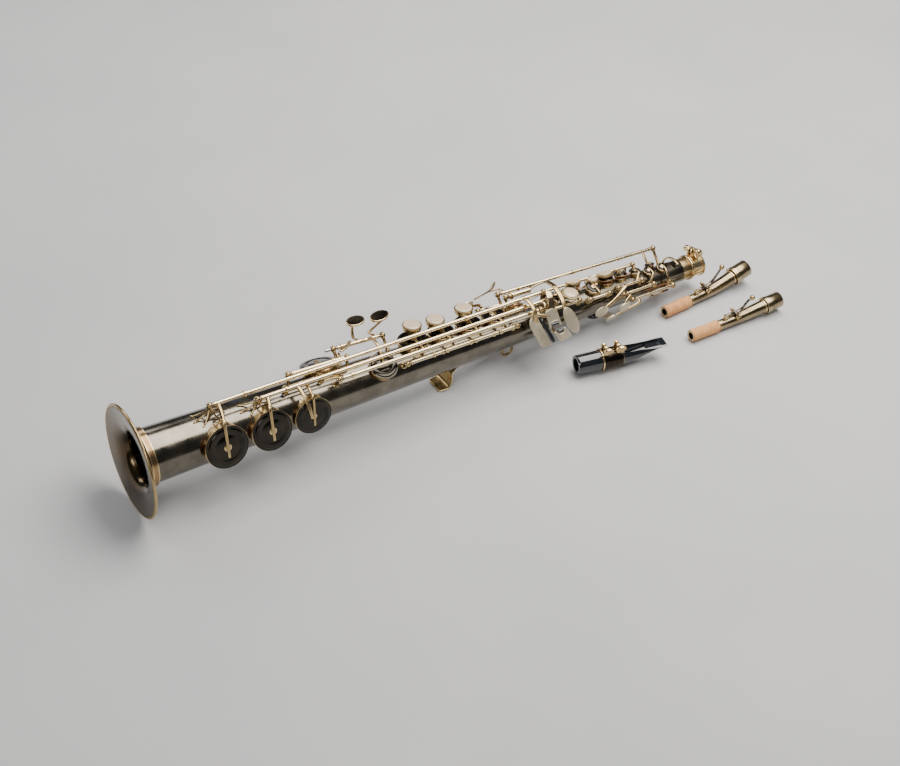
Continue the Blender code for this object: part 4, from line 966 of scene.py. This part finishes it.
def build_receiver():
    r0 = tube_r(TUBE_END)
    start = TUBE_END + GAP
    profile = [(r0 - WALL, 0), (r0 + 0.2, 0), (r0 + 0.2, 8.8), (r0 + 0.5, 9.0), (r0 + 1.2, 9.3),
               (r0 + 1.5, 9.7), (r0 + 1.5, 11.1), (r0 + 1.2, 11.5), (r0 + 0.4, 11.8), (r0 + 0.4, 22.3),
               (r0 + 0.9, 22.6), (r0 + 1.2, 22.9), (r0 + 1.2, 24.1), (r0 + 0.9, 24.4), (r0 - 1.4, 24.4),
               (r0 - 1.6, 24.2), (r0 - 1.6, 8.0), (r0 - WALL, 6.0)]
    shape = Shape()
    shape.add(lathe(profile, (start, 0, 0), AXIAL, 96, loop=True), 0)
    ear = soft_outline([(-3.6, 0), (3.6, 0), (3.6, 6.6), (0, 8.6), (-3.6, 6.6)], 1.6, 5)
    for y in (-1.0, 3.5):
        shape.add(plate(ear, (start + 18.0, y, r0 - 0.6), AXIAL, UP, 2.5, 0.3), 0)
    for k in (0, 1):
        shape.add(lathe([(r0 + 0.3, 12.6 + k * 8.4), (r0 + 0.62, 12.8 + k * 8.4),
                         (r0 + 0.62, 13.4 + k * 8.4),
                         (r0 + 0.3, 13.6 + k * 8.4)], (start, 0, 0), AXIAL, 96, loop=True), 1)
    slot_box = plate([(-8.6, 0), (8.6, 0), (8.6, 14), (-8.6, 14)], (start + 19.0, 0.8, r0 - 4.0), AXIAL,
                     UP, 1.6, 0.01)
    cut_piece("receiver", "horn", shape, ("brass", "gold"), [slot_box], HORN)

    start += 18.0
    h = r0 + 4.4
    screw = Shape()
    screw.add(bar((start, 9.6, h), (start, 3.8, h), 3.0, 40, 0.5), 0)
    screw.add(bar((start, 5.0, h), (start, -6.0, h), 1.5, 24, 0.1), 1)
    screw.add(lathe([(0, 0), (1.9, 0), (1.9, 1.6), (2.6, 2.0), (3.4, 2.3), (3.75, 2.9), (3.8, 3.4),
                     (3.8, 6.2), (3.5, 6.8), (3.0, 7.2),
                     (0, 7.3)], (start, -3.8, h), (0, -1, 0), 48), 0)
    for a, b in circle(24):
        c = Vector((start + 3.72 * a, 0, h + 3.72 * b))
        screw.add(bar(c + Vector((0, -7.5, 0)), c + Vector((0, -9.8, 0)), 0.3, 8, 0.1), 0)
    piece("clamp_screw.fine", "clamp_screw", screw, ("brass", "steel"), "clamp_screw")


def build_fittings():
    down = 195.0
    u = 290.0
    r = tube_r(u)
    path = [(u + 14, r + 1.2), (u + 4, r + 1.6), (u - 1, r + 5), (u - 2, r + 11), (u - 4.5, r + 16.5),
            (u - 9, 33.7), (u - 14, 33.8)]
    hook = Shape()
    hook.add(sweep([at(p, q, down) for p, q in path], [9, 12, 16, 19, 19.4, 19.2, 17.0], 1.7, None, 20,
                   8, 4.5), 0)
    hook.add(sweep([at(u + 16, r + 1.2, down), at(u + 3, r + 1.2, down)], 10, 1.7, None, 20, 6, 4.5), 0)
    for p in (8.0, 13.0):
        hook.add(lathe([(0, 0), (1.9, 0), (1.8, 0.5), (1.2, 0.9), (0, 1.0)], at(u + p, r + 2.0, down),
                       radial(down), 28), 1)
    piece("thumb_hook.fine", "horn", hook, ("gold", "steel"), "thumb_hook")

    u = 350.0
    r = tube_r(u)
    ring = Shape()
    profile = [(5.4 + 1.2 * a, 1.2 * b) for a, b in circle(20)]
    ring.add(lathe(profile, at(u, r + 7.6, down), tangent(down), 64, loop=True), 0)
    ring.add(lathe([(0, 0), (3.2, 0), (3.2, 0.5), (2.5, 0.9), (1.9, 1.7), (2.2, 2.6), (0, 2.8)],
                   at(u, r + GAP, down), radial(down), 40), 0)
    piece("strap_ring.fine", "horn", ring, ("gold",), "strap_ring")

    u = 440.0
    r = tube_r(u)
    rest = Shape()
    rest.add(lathe([(0, GAP), (6.0, GAP), (6.4, 0.8), (6.6, 1.6), (6.5, 2.6), (6.1, 3.3), (5.2, 3.7),
                    (3.0, 3.9), (0, 4.0)], at(u, r, 180), radial(180), 64), 0)
    piece("thumb_rest.fine", "horn", rest, ("black",), "thumb_rest")


# ---------------------------------------------------------------- keys
# Outlines of the table plates: axial, towards the front
BB_PLATE = [(353.0, 1.0), (354.4, 5.0), (358.4, 8.2), (361.8, 8.9), (367.9, -20.4), (358.4, -19.8),
            (355.0, -8.0)]
CS_PLATE = [(370.6, 8.6), (378.4, 10.6), (382.3, 7.0), (383.6, -5.8), (381.6, -6.0), (381.4, -1.6),
            (373.4, -1.6), (373.0, -6.4), (371.2, -6.4)]
B_PLATE = [(374.2, -10.6), (376.2, -10.4), (377.4, -14.2), (384.6, -13.4), (384.4, -9.8), (386.4, -9.6),
           (388.0, -13.0), (390.6, -18.6), (378.4, -20.2)]


def build_bell_keys():
    name = "low_bb_key"
    shape = rod_bar(Shape(), name)
    for u in (96.0, 152.0, 232.0, 300.0):
        collar(shape, name, u, 2.5 if u in (96.0, 300.0) else 2.0, 2.0)
    cup_arm(shape, "bb", 73.0, 33.0, 22.5)
    link = [at(358.5, 33.0, 22.5), at(358.6, 35.2, 28), at(359.0, 35.8, 38), at(359.4, 35.4, 48),
            at(359.8, 33.6, 55), on_table(360.0, 2.0, -3.4)]
    shape.add(sweep(link, 4.0, 1.8, None, 16, 6, 3.0), GOLD)
    table_plate(shape, BB_PLATE, PLATE, -2.6)
    key_piece(name, opened(shape, name, "bb"))

    name = "low_b_key"
    shape = rod_bar(Shape(), name)
    collar(shape, name, 129.0)
    cup_arm(shape, "b", 112.0, 30.5, 35.5)
    shape.add(sweep(arc(138.5, 30.5, 35.5, 142.0, 28.0, 92.0, 5, 0.8), [3.6, 3.4, 3.0, 2.8, 2.6, 2.4],
                    1.7), GOLD)
    link = [at(373.5, 30.5, 35.5), at(373.5, 32.6, 42), at(373.5, 31.2, 50), at(373.5, 28.0, 56),
            on_table(374.4, 4.0, -6.4), on_table(376.0, -8.0, -6.8), on_table(380.0, -15.6, -5.6),
            on_table(381.7, -17.5, -3.5)]
    shape.add(sweep(link, 2.8, 1.8), GOLD)
    table_plate(shape, B_PLATE, PLATE, -2.6, corner=0.9)
    key_piece(name, opened(shape, name, "b"))

    name = "low_cs_lever"
    shape = rod_bar(Shape(), name)
    collar(shape, name, 185.0)
    finger = [at(180.0, 30.5, 48.0), at(179.5, 27.0, 44.0), at(173.0, 26.4, 39.0),
              at(162.5, 26.9, 38.0)]
    link = [at(363.6, 30.5, 48.0), at(364.2, 31.4, 52.5), on_table(367.2, 6.6, -1.0),
            on_table(374.0, 4.6, -0.9)]
    strip = [on_table(378.2, 8.6, -1.0), at(378.5, 34.4, 47), at(379.2, 36.6, 38), at(380.2, 37.4, 30)]
    shape.add(sweep(finger, 3.0, 1.6), GOLD).add(sweep(link, 3.0, 1.6), GOLD)
    shape.add(sweep(strip, [6.4, 6.2, 6.0, 5.4], 1.5, None, 20, 6, 6.0), SILVER)
    table_plate(shape, CS_PLATE, corner=0.9)
    key_piece(name, shape)

    name = "low_cs_key"
    shape = rod_bar(Shape(), name, 1.5)
    cup_arm(shape, "cs", 148.0, 25.6, 27.0, 0.5, 2.6, 1.5)
    key_piece(name, shape)


def build_front_levers():
    name = "low_c_key"
    shape = rod_bar(Shape(), name)
    collar(shape, name, 178.0)
    cup_arm(shape, "c", 160.0, 30.1, 11.0, 0.36, 3.2, 1.6)
    shape.add(sweep(arc(184.0, 29.1, 11.0, 186.0, 29.4, -2.0, 2), 3.0, 1.6), GOLD)
    key_piece(name, opened(shape, name, "c"))

    n, right = radial(10.0), -tangent(10.0)
    leaves = {"low_c_lever": (217.0, 32.0, 8.6, 6.8, 12.0, 213.8, -4.0),
              "low_eb_key": (237.6, 28.0, 9.6, 6.6, 20.0, 229.4, 4.0)}
    for name, (u, t, rx, ry, tilt, uc, shift) in leaves.items():
        shape = rod_bar(Shape(), name)
        place = n * 35.2 + right * t + Vector((u, 0, 0))
        shape.add(plate(ellipse(rx, ry, tilt, 64), place, AXIAL, right, 1.9, 0.5, 0.0, 0.2), LEAF)
        _, r, phi = rod_point(name, uc)
        crank = [at(uc, r, phi), at(uc - 1.5, r + 3.4, phi - 5), at(uc - 3.0, r + 6.0, phi - 4),
                 n * 34.6 + right * (t - 2.0) + Vector((u + shift, 0, 0)),
                 n * 35.6 + right * t + Vector((u, 0, 0))]
        shape.add(sweep(crank, [3.2, 2.8, 2.6, 2.8, 2.6], 1.8), GOLD)
        if name == "low_c_lever":
            collar(shape, name, 197.0)
            arm = [at(204.0, 31.6, -30.0), at(203.0, 34.0, -22), at(200.0, 34.4, -10),
                   at(194.0, 33.4, -2), at(187.5, 33.0, 3)]
            shape.add(sweep(arm, [3.4, 3.1, 2.9, 2.8, 2.8], 1.7), GOLD)
        else:
            arm = [at(222.0, 30.7, -30.0), at(221.6, 31.0, -18), at(221.0, 29.2, 0),
                   at(220.0, 26.6, 14), at(219.0, 24.8, 26), at(218.4, 23.6, 36), at(218.0, 22.4, 46)]
            shape.add(sweep(arm, [3.4, 3.2, 3.0, 2.8, 2.7, 2.6, 2.5], 1.7), GOLD)
            cup(shape, "eb")
        key_piece(name, shape)


def add_pearl(name, key):
    """The pearl of a key, open or closed as its key is."""
    gem = opened(Shape().add(pearl(*PEARLS[key])), name, key)
    piece(f"pearl_{key}.fine", name, gem, ("pearl",), f"pearl_{key}")


def build_stack():
    lower = {"d_key": ("d", 250.0, (262.0, 270.6)), "e_key": ("e", 282.0, (275.2, 298.2)),
             "f_key": ("f", 309.5, (303.4, 321.6)), "fs_key": ("fs", 334.6, (329.4,))}
    for name, (key, u_arm, collars) in lower.items():
        _, r, phi = rod_point(name, u_arm)
        shape = rod_bar(Shape(), name)
        cup_arm(shape, key, u_arm, r, phi, 0.35, 3.2, 1.6)
        for u in collars:
            collar(shape, name, u, 2.4, 1.5)
        if key in PEARLS:
            u, top, ang, radius, tilt = PEARLS[key]
            pearl_seat(shape, u, cup_h(key) + 0.8, top, ang, radius, tilt, 3.4)
        key_piece(name, opened(shape, name, key))
        if key in PEARLS:
            add_pearl(name, key)

    upper = {"g_key": ("g", 393.0), "bis_key": ("bis", 438.0), "a_key": ("a", 420.0),
             "b_key": ("b2", 454.0), "c_key": ("c2", 471.0)}
    for name, (key, u_arm) in upper.items():
        _, r, phi = rod_point(name, u_arm)
        shape = rod_bar(Shape(), name, 1.4)
        cup_arm(shape, key, u_arm, r, phi, 0.3, 2.6, 1.5)
        if key in PEARLS:
            u, top, ang, radius, tilt = PEARLS[key]
            hu, hphi, hr, _ = HOLES[key]
            if abs(hu - u) < hr * 0.7 and abs(hphi - ang) < 20:
                pearl_seat(shape, u, cup_h(key) + 0.8, top, ang, radius, tilt)
            else:
                side = 1.0 if u > hu else -1.0
                link = arc(hu + side * hr * 0.4, cup_h(key) + CUP_T + 0.4, hphi, u, top - 3.7, ang, 3)
                shape.add(sweep(link, 3.0, 1.8), GOLD)
                pearl_seat(shape, u, top - 4.0, top, ang, radius, tilt)
        key_piece(name, opened(shape, name, key))
        if key in PEARLS:
            add_pearl(name, key)


def build_upper():
    name = "gs_lever"
    shape = rod_bar(Shape(), name, 2.3)
    shape.add(bar(at(357.5, 28.0, -12.0), at(358.9, 28.0, -12.0), 3.6, 40, 0.3), GOLD)
    link = [at(376.5, 27.4, -12.0), at(380.0, 29.0, -12.4), at(383.0, 29.6, -12.7),
            at(390.6, 30.2, -12.8), at(392.6, 30.3, -11.8), at(393.8, 30.4, -9.6),
            at(394.3, 30.6, -4.0), at(394.0, 31.0, 14.0), at(393.2, 30.8, 30.0), at(392.8, 30.7, 40.0),
            at(392.4, 30.6, 48.0), on_table(392.4, 2.0, -1.6), on_table(393.0, -4.0, -1.4)]
    shape.add(sweep(link, 4.2, 1.7, None, 16, 4, 5.0), GOLD)
    touch(shape, (5.9, 12.2, 14.0, 72), on_table(394.0, -5.2, -PLATE), TABLE_PHI, 0.9, PLATE)
    key_piece(name, shape)

    name = "gs_key"
    shape = rod_bar(Shape(), name, 1.4)
    cup_arm(shape, "gs", 361.5, 20.5, -71.0, 0.3, 2.8, 1.5)
    key_piece(name, shape)

    palms = {
        "palm_d_key": ("pd", 480.0, (464.6, 450.0, 432.0), (17.0, 22.4, 23.6), (52.0, 75.0, 92.0), 7.0),
        "palm_eb_key": ("pe", 492.0, (468.6, 461.0, 457.0), (15.4, 21.8, 23.6),
                        (78.0, 90.0, 100.0), 6.0),
        "palm_f_key": ("pf", 513.0, (478.6, 466.0, 448.0), (15.6, 20.8, 21.4),
                       (108.0, 119.0, 130.0), 6.0),
    }
    for name, (key, u_arm, us, rs, phis, size) in palms.items():
        _, r, phi = rod_point(name, u_arm)
        pts = [at(a, b, c) for a, b, c in zip(us, rs, phis)]
        pts.insert(1, at(us[0] - 1.2, rs[0] + 4.8, phis[0] + 3.0))
        shape = rod_bar(Shape(), name, 1.4)
        cup_arm(shape, key, u_arm, r, phi, 0.3, 2.4, 1.4)
        shape.add(sweep(pts, [3.0, 2.8, 2.8, 3.2], 1.6), GOLD)
        touch(shape, (size, size * 0.62, 10.0, 56), pts[-1] - radial(phis[-1]) * 0.4, phis[-1], 0.5)
        key_piece(name, shape)

    name = "side_e_key"
    shape = rod_bar(Shape(), name, 1.5)
    blade = [at(357.0, 31.4, -30.0), at(355.2, 35.6, -33.0), at(345.0, 36.4, -34.0),
             at(334.0, 34.8, -31.0), at(329.0, 34.0, -30.0)]
    lever = [at(344.0, 36.4, -34.0), at(351.0, 39.0, -38.0), at(357.0, 43.6, -42.0)]
    shape.add(sweep(blade, [2.6, 3.2, 5.6, 7.6, 5.4], 1.5, None, 18, 7, 3.5), GOLD)
    shape.add(sweep(lever, [5.6, 5.0, 3.2], [1.5, 1.4, 1.1], None, 18, 7, 3.5), GOLD)
    cup_arm(shape, "se", 507.0, 26.7, -30.0, 0.2, 2.6, 1.5)
    for u in (372.0, 430.0, 480.0):
        collar(shape, name, u, 2.0, 1.6)
    key_piece(name, shape)

    sides = {
        "side_c_key": ("sc", 444.0, 354.4, (343.0, 34.0, -110.0)),
        "side_bb_key": ("sb", 404.0, 340.4, (326.0, 29.6, -131.0)),
        "high_fs_key": ("hf", 489.5, 340.4, (322.0, 33.6, -46.0)),
    }
    for name, (key, u_arm, u_t, (u, r, phi)) in sides.items():
        _, ra, pa = rod_point(name, u_arm)
        _, rt, pt = rod_point(name, u_t)
        bridge = [at(u_t, rt, pt), at(u_t - 1.2, rt + 4.8, pt + 2.0)]
        bridge += arc(u_t - 7.0, rt + 5.2, pt + 0.3 * (phi - pt), u + 4.0, r, phi, 2)
        shape = rod_bar(Shape(), name, 1.4)
        cup_arm(shape, key, u_arm, ra, pa, 0.3, 2.6, 1.4)
        shape.add(sweep(bridge, 3.0, 1.7), GOLD)
        touch(shape, (9.0, 4.6, 0.0, 64), at(u, r - 0.8, phi), phi, 0.3)
        key_piece(name, shape)

    name = "octave_lever"
    shape = rod_bar(Shape(), name, 1.4)
    shape.add(sweep(arc(456.0, 17.3, -150.0, 456.0, 20.4, -172.0, 3), 2.8, 1.6), GOLD)
    touch(shape, (5.0, 7.0, 0.0, 56), at(456.0, 19.4, 180.0), 180.0, 0.3)
    ring = [at(530.0, tube_r(530.0) + 3.6, 210.0 + 13.5 * k) for k in range(15)]
    shape.add(sweep([at(508.0, 16.6, -150.0), at(509.2, 21.2, -152.0), at(520.0, 20.4, -151.0),
                     ring[0]], 2.6, 1.6), GOLD)
    shape.add(sweep(ring, 2.6, 1.5, None, 16, 4, 3.5), GOLD)
    key_piece(name, shape)

    shape = Shape()
    h = chimney_h("vent")
    shape.add(lathe([(0, 0), (3.3, 0), (3.6, 0.25), (3.6, 1.1), (3.2, 1.5), (0, 1.6)],
                    at(516.0, h + GAP, 150.0), radial(150.0), 40), CUP)
    shape.add(sweep([at(516.0, h + 1.4, 150.0), at(505.0, h + 2.2, 150.0), at(500.0, 14.0, 150.0)], 2.4,
                    1.4), GOLD)
    shape.add(bar(at(500.0, 14.2, 141.0), at(500.0, 14.2, 159.0), 1.3, 24), SILVER)
    key_piece("octave_vent", shape)


# Rollers on the table: key, hole, ends in the table plane, radius, height
ROLLERS = {
    "roller_bb": ("low_bb_key", "bb", (365.7, 3.4), (371.3, -18.8), 1.6, -3.2),
    "roller_b": ("low_b_key", "b", (378.2, -11.6), (383.8, -11.3), 1.6, -3.3),
    "roller_cs": ("low_cs_lever", None, (373.4, -3.6), (380.8, -3.6), 1.4, -0.7),
}


def build_rollers():
    for name, (key_name, key, p, q, radius, h) in ROLLERS.items():
        a, b = on_table(*p, h), on_table(*q, h)
        length = (b - a).length
        profile = [(0, 0), (radius * 0.75, 0), (radius * 0.93, 0.35)]
        for k in range(1, 8):
            t = k / 8
            profile.append((radius * (0.95 + 0.05 * math.sin(math.pi * t)), length * t))
        profile += [(radius * 0.93, length - 0.35), (radius * 0.75, length), (0, length)]
        shape = Shape().add(lathe(profile, a, b - a, 40), 0)
        if key:
            opened(shape, key_name, key)
        piece(name + ".fine", name, shape, ("black",), name)


# ---------------------------------------------------------------- loose pieces
NECK1 = {
    "path": [(0, 5.9), (30, 5.7), (44, 5.9), (58, 6.9), (70, 8.8), (82, 11.2), (86, 12.1), (99, 15.0)],
    "radius": [4.3, 4.5, 5.0, 5.5, 6.0, 6.5, 6.6, 8.0], "ring": (82, 86, 8.6), "tenon": 8.0,
    "ball": (66.0, 29.0), "pivot": (49.0, 14.0),
}
NECK2 = {
    "path": [(0, 5.9), (30, 5.7), (44, 5.8), (58, 6.6), (70, 7.6), (82, 8.6), (86, 9.0), (99, 10.2)],
    "radius": [4.3, 4.5, 4.9, 5.3, 5.8, 6.3, 6.4, 7.4], "ring": (82, 86, 7.9), "tenon": 7.4,
    "ball": (66.0, 24.0), "pivot": (49.0, 13.4),
}
NECK1_PLACE = (223.5, -25.5, 3.0)
NECK2_PLACE = (222.5, -64.5, -2.0)
MOUTHPIECE_PLACE = (108.0, -48.5, -12.5, 1.2)
CORK = 29.0
CORK_R = 5.5


def path_point(spec, x):
    path = spec["path"]
    for (x0, z0), (x1, z1) in zip(path, path[1:]):
        if x0 <= x <= x1:
            return z0 + (z1 - z0) * (x - x0) / (x1 - x0)
    return path[-1][1]


def radius_at(spec, x):
    path, radii = spec["path"], spec["radius"]
    for i in range(len(path) - 1):
        if path[i][0] <= x <= path[i + 1][0]:
            t = (x - path[i][0]) / (path[i + 1][0] - path[i][0])
            return radii[i] + (radii[i + 1] - radii[i]) * t
    return radii[-1]


def bent_tube(stations, spec, sides=72):
    """Closed tube wall along a neck; stations are (x, outside, inside)."""
    verts, rings = [], []

    def ring(x, radius):
        a, b = max(x - 1.5, 0.0), min(x + 1.5, 99.0)
        t = Vector((b - a, 0, path_point(spec, b) - path_point(spec, a))).normalized()
        n = Vector((-t.z, 0, t.x))
        centre = Vector((x, 0, path_point(spec, x)))
        rings.append(add_ring(verts, [centre + Vector(ACROSS) * (radius * c) + n * (radius * d)
                                      for c, d in circle(sides)]))

    for x, outside, _ in stations:
        ring(x, outside)
    for x, _, inside in reversed(stations):
        ring(x, inside)
    return verts, between(rings, closed=True)


def build_neck(tag, spec, matrix):
    tenon, ring_r = spec["tenon"], spec["ring"][2]
    stations = [(x, radius_at(spec, x), radius_at(spec, x) - 0.9) for x in [i * 1.5 for i in range(55)]]
    end = radius_at(spec, 81.0)
    stations = [(x, min(r, end), q) for x, r, q in stations if x < 81.9]
    for x, r in ((82.0, end), (82.05, ring_r - 0.3), (82.35, ring_r), (83.6, ring_r),
                 (83.75, ring_r - 0.25), (83.95, ring_r - 0.25), (84.1, ring_r), (85.7, ring_r),
                 (86.0, ring_r - 0.3), (86.05, tenon), (98.5, tenon), (99.0, tenon - 0.35)):
        stations.append((x, r, min(end, r) - 0.9 if x < 86.1 else tenon - 0.9))
    shape = Shape().add(bent_tube(stations, spec), 0)
    px, pz = spec["pivot"]
    zc = path_point(spec, px)
    for y in (-5.6, 5.6):
        shape.add(bar((px, y * 0.55, zc + 2.0), (px, y, pz), 1.1, 20), 1)
        shape.add(ball((px, y, pz), 1.7, ACROSS, 28, 14), 1)
    pip = 38.0
    zp = path_point(spec, pip)
    shape.add(lathe([(0, 0), (2.3, 0), (2.2, 0.7), (1.7, 1.2), (1.7, 2.3), (1.4, 2.5), (0, 2.5)],
                    (pip, 0, zp + 3.9), UP, 32), 1)
    for x in (30.6, 80.2):
        r = radius_at(spec, x)
        shape.add(bent_tube([(x, r, r - 0.3), (x + 0.2, r + 0.35, r - 0.3),
                             (x + 0.9, r + 0.35, r - 0.3), (x + 1.1, r, r - 0.3)], spec), 1)
    piece(f"{tag}_tube.fine", tag, shape, ("neck", "gold"), f"{tag}_tube", matrix)

    skin = []
    for x in [CORK * i / 24 for i in range(25)]:
        ease = min(1.0, (x + 0.6) / 2.2)
        skin.append((x, CORK_R - 0.35 * (1 - ease) - 0.05 * math.sin(x * 1.3),
                     4.3 + 0.2 * x / CORK + GAP + 0.1))
    piece(f"{tag}_cork.fine", tag, Shape().add(bent_tube(skin, spec), 0), ("cork",), f"{tag}_cork",
          matrix)

    bx, bz = spec["ball"]
    shape = Shape()
    shape.add(bar((px, -3.5, pz), (px, 3.5, pz), 1.5, 28), 1)
    lever = [(pip, 0, zp + 8.0), (pip + 5, 0, zp + 8.6), (px, 0, pz), (px + 7, 0, pz + 3.0),
             (px + 12, 0, pz + 8.5), (bx, 0, bz)]
    shape.add(sweep(lever, [2.2, 2.6, 3.2, 2.6, 2.2, 1.8], [1.6, 1.8, 2.0, 1.8, 1.7, 1.6], UP,
                    16, 7), 1)
    shape.add(bar((pip, 0, zp + 6.4 + GAP), (pip, 0, zp + 8.4), 2.4, 36, 0.3), 2)
    shape.add(ball((bx, 0, bz), 2.5, UP, 40, 20), 0)
    piece(f"{tag}_octave_key.fine", f"{tag}_octave_key", shape, ("brass", "tube", "gold"),
          f"{tag}_octave_key", matrix)


MP_SECTIONS = [
    (0.0, 8.2, 0.6, 17.0), (1.2, 8.7, 0.1, 17.5), (21.0, 8.9, 0.0, 17.8), (34.0, 8.6, 0.3, 17.5),
    (46.0, 8.1, 0.8, 16.9), (56.0, 7.5, 3.2, 16.3), (66.0, 7.0, 7.6, 15.5), (76.0, 6.6, 11.8, 14.6),
    (84.0, 6.2, 12.9, 14.1),
]
LIGATURE_SCREWS = (26.0, 38.0)
SCREW_H = 22.4


def mp_section(s):
    """Half width, bottom and top of the mouthpiece, on a smooth curve."""
    rows = MP_SECTIONS
    for i in range(len(rows) - 1):
        if rows[i][0] <= s <= rows[i + 1][0]:
            t = (s - rows[i][0]) / (rows[i + 1][0] - rows[i][0])
            a, b = rows[max(i - 1, 0)], rows[min(i + 2, len(rows) - 1)]
            out = []
            for k in (1, 2, 3):
                p0, p1, p2, p3 = a[k], rows[i][k], rows[i + 1][k], b[k]
                if i < 2:
                    out.append(p1 + (p2 - p1) * t)
                    continue
                out.append(0.5 * (2 * p1 + (p2 - p0) * t + (2 * p0 - 5 * p1 + 4 * p2 - p3) * t * t
                                  + (3 * p1 - p0 - 3 * p2 + p3) * t ** 3))
            return out
    return list(rows[-1][1:])


def build_mouthpiece(matrix):
    sides = 96
    verts, rings = [], []
    steps = [0.0, 0.15, 0.5, 1.2] + [1.2 + 82.8 * i / 110 for i in range(1, 111)]
    for s in steps:
        w, low, high = mp_section(s)
        if s < 1.2:
            w, low, high = w - 0.05, low + 0.05, high - 0.05
        zc, hz = (low + high) / 2, (high - low) / 2
        flat = 1.0 - 0.14 * min(max((s - 30) / 14, 0.0), 1.0)
        rings.append(add_ring(verts, [Vector((s, w * c, zc + min(hz * d, hz * flat)))
                                      for c, d in circle(sides, 0.5)]))
    shape = Shape().add((verts, capped(rings)), 0)
    bore = bar((-1, 0, 8.9), (44, 0, 9.3), 5.9, 64)
    window = plate([(43.0, -5.2), (78.0, -4.2), (78.0, 4.2), (43.0, 5.2)], (0, 0, 12.6), AXIAL, ACROSS,
                   8.0, 0.01)
    throat = bar((40, 0, 9.2), (66, 0, 13.4), 3.6, 48)
    cut_piece("mouthpiece", "mouthpiece", shape, ("ebonite",), [bore, window, throat],
              matrix, 30.0)

    shape = Shape()

    def band(s0, s1, low_grow, high_grow, mat):
        verts, rings = [], []
        order = [(s0, low_grow), (s0, high_grow - 0.12), (s0 + 0.15, high_grow), (s1 - 0.15, high_grow),
                 (s1, high_grow - 0.12), (s1, low_grow)]
        for s, grow in order:
            w, low, high = mp_section(s)
            zc, hz = (low + high) / 2, (high - low) / 2
            rings.append(add_ring(verts, [Vector((s, (w + grow) * c, zc + (hz + grow) * d))
                                          for c, d in circle(sides)]))
        shape.add((verts, between(rings, closed=True)), mat)

    band(22.0, 42.0, 0.4, 0.9, 0)
    band(22.0, 23.2, 0.4, 1.1, 1)
    band(40.8, 42.0, 0.4, 1.1, 0)
    lug = soft_outline([(-2.2, 0), (2.2, 0), (2.2, 6.8), (-2.2, 6.8)], 1.9, 6)
    cuts = []
    for s in LIGATURE_SCREWS:
        for y in (3.6, -1.2):
            shape.add(plate(lug, (s, y, 17.6), AXIAL, UP, 2.4, 0.35), 1)
        cuts.append(bar((s, -8, SCREW_H), (s, 8, SCREW_H), 1.3, 24))
    cut_piece("ligature", "ligature", shape, ("ligature", "brass"), cuts, matrix)
    for i, s in enumerate(LIGATURE_SCREWS):
        screw = Shape()
        screw.add(bar((s, 4.6, SCREW_H), (s, -6.4, SCREW_H), 0.95, 24, 0.2), 0)
        screw.add(plate(ellipse(4.8, 2.6, 15.0, 56), (s, -5.7, SCREW_H), AXIAL, UP, 2.8, 0.55,
                        0.2), 0)
        piece(f"ligature_screw_{i + 1}.fine", f"ligature_screw_{i + 1}", screw, ("brass",),
              f"ligature_screw_{i + 1}", matrix)


# ---------------------------------------------------------------- studio
def area_light(name, place, target, size_x, size_y, power, colour=(1, 1, 1)):
    data = bpy.data.lights.new(name, "AREA")
    data.shape = "RECTANGLE"
    data.size, data.size_y = size_x, size_y
    data.energy = power
    data.color = colour
    obj = bpy.data.objects.new(name, data)
    bpy.context.collection.objects.link(obj)
    obj.location = place
    way = Vector(target) - Vector(place)
    obj.rotation_euler = way.to_track_quat("-Z", "Y").to_euler()
    return obj


def build_studio():
    size, low = 6.0, -0.0004
    mesh = bpy.data.meshes.new("floor")
    mesh.from_pydata([(x * size, y * size, low) for x, y in ((-1, -1), (1, -1), (1, 1), (-1, 1))],
                     [], [(0, 1, 2, 3)])
    floor = bpy.data.objects.new("floor", mesh)
    bpy.context.collection.objects.link(floor)
    mesh.materials.append(floor_material())
    world = bpy.data.worlds.new("studio")
    bpy.context.scene.world = world
    world.use_nodes = True
    sky = world.node_tree.nodes["Background"].inputs
    sky["Color"].default_value = (0.9, 0.92, 0.95, 1.0)
    sky["Strength"].default_value = 0.10
    area_light("ceiling_light", (0.60, 0.0, 1.25), (0.60, 0.0, 0.0), 1.0, 1.5, 42.0, (1.0, 0.97, 0.93))
    area_light("fill_light", (-0.75, -0.75, 0.9), (-0.1, 0, 0.02), 0.5, 0.5, 5.0)
    area_light("back_light", (-0.35, 1.0, 0.8), (0, 0, 0.03), 1.2, 0.35, 6.0)


def build_camera():
    """Camera above the right-hand side, looking down at the keys."""
    lie = Matrix.Translation((-LENGTH / 2 * MM, 0, LIFT * MM))
    lie = lie @ Matrix.Rotation(math.radians(PITCH), 4, "Y")
    place = Vector((-307.9, -848.8, 821.0)) * MM
    right = Vector((0.8422, -0.536, 0.059)).normalized()
    down = Vector((-0.3021, -0.563, -0.768))
    down = (down - right * down.dot(right)).normalized()
    back = right.cross(-down)
    local = Matrix((right, -down, back)).transposed().to_4x4()
    local.translation = place
    data = bpy.data.cameras.new("camera")
    data.lens = 62.7
    data.sensor_width = 36.0
    data.sensor_fit = "HORIZONTAL"
    data.clip_start = 0.01
    camera = bpy.data.objects.new("camera", data)
    bpy.context.collection.objects.link(camera)
    camera.matrix_world = lie @ local
    bpy.context.scene.camera = camera


def main():
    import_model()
    MATS.update(make_materials())
    build_body()
    build_bell()
    build_receiver()
    build_fittings()
    build_bell_keys()
    build_front_levers()
    build_stack()
    build_upper()
    build_rollers()
    build_neck("neck1", NECK1, floor_matrix(*NECK1_PLACE))
    build_neck("neck2", NECK2, floor_matrix(*NECK2_PLACE))
    build_mouthpiece(floor_matrix(*MOUTHPIECE_PLACE))
    build_studio()
    build_camera()


main()
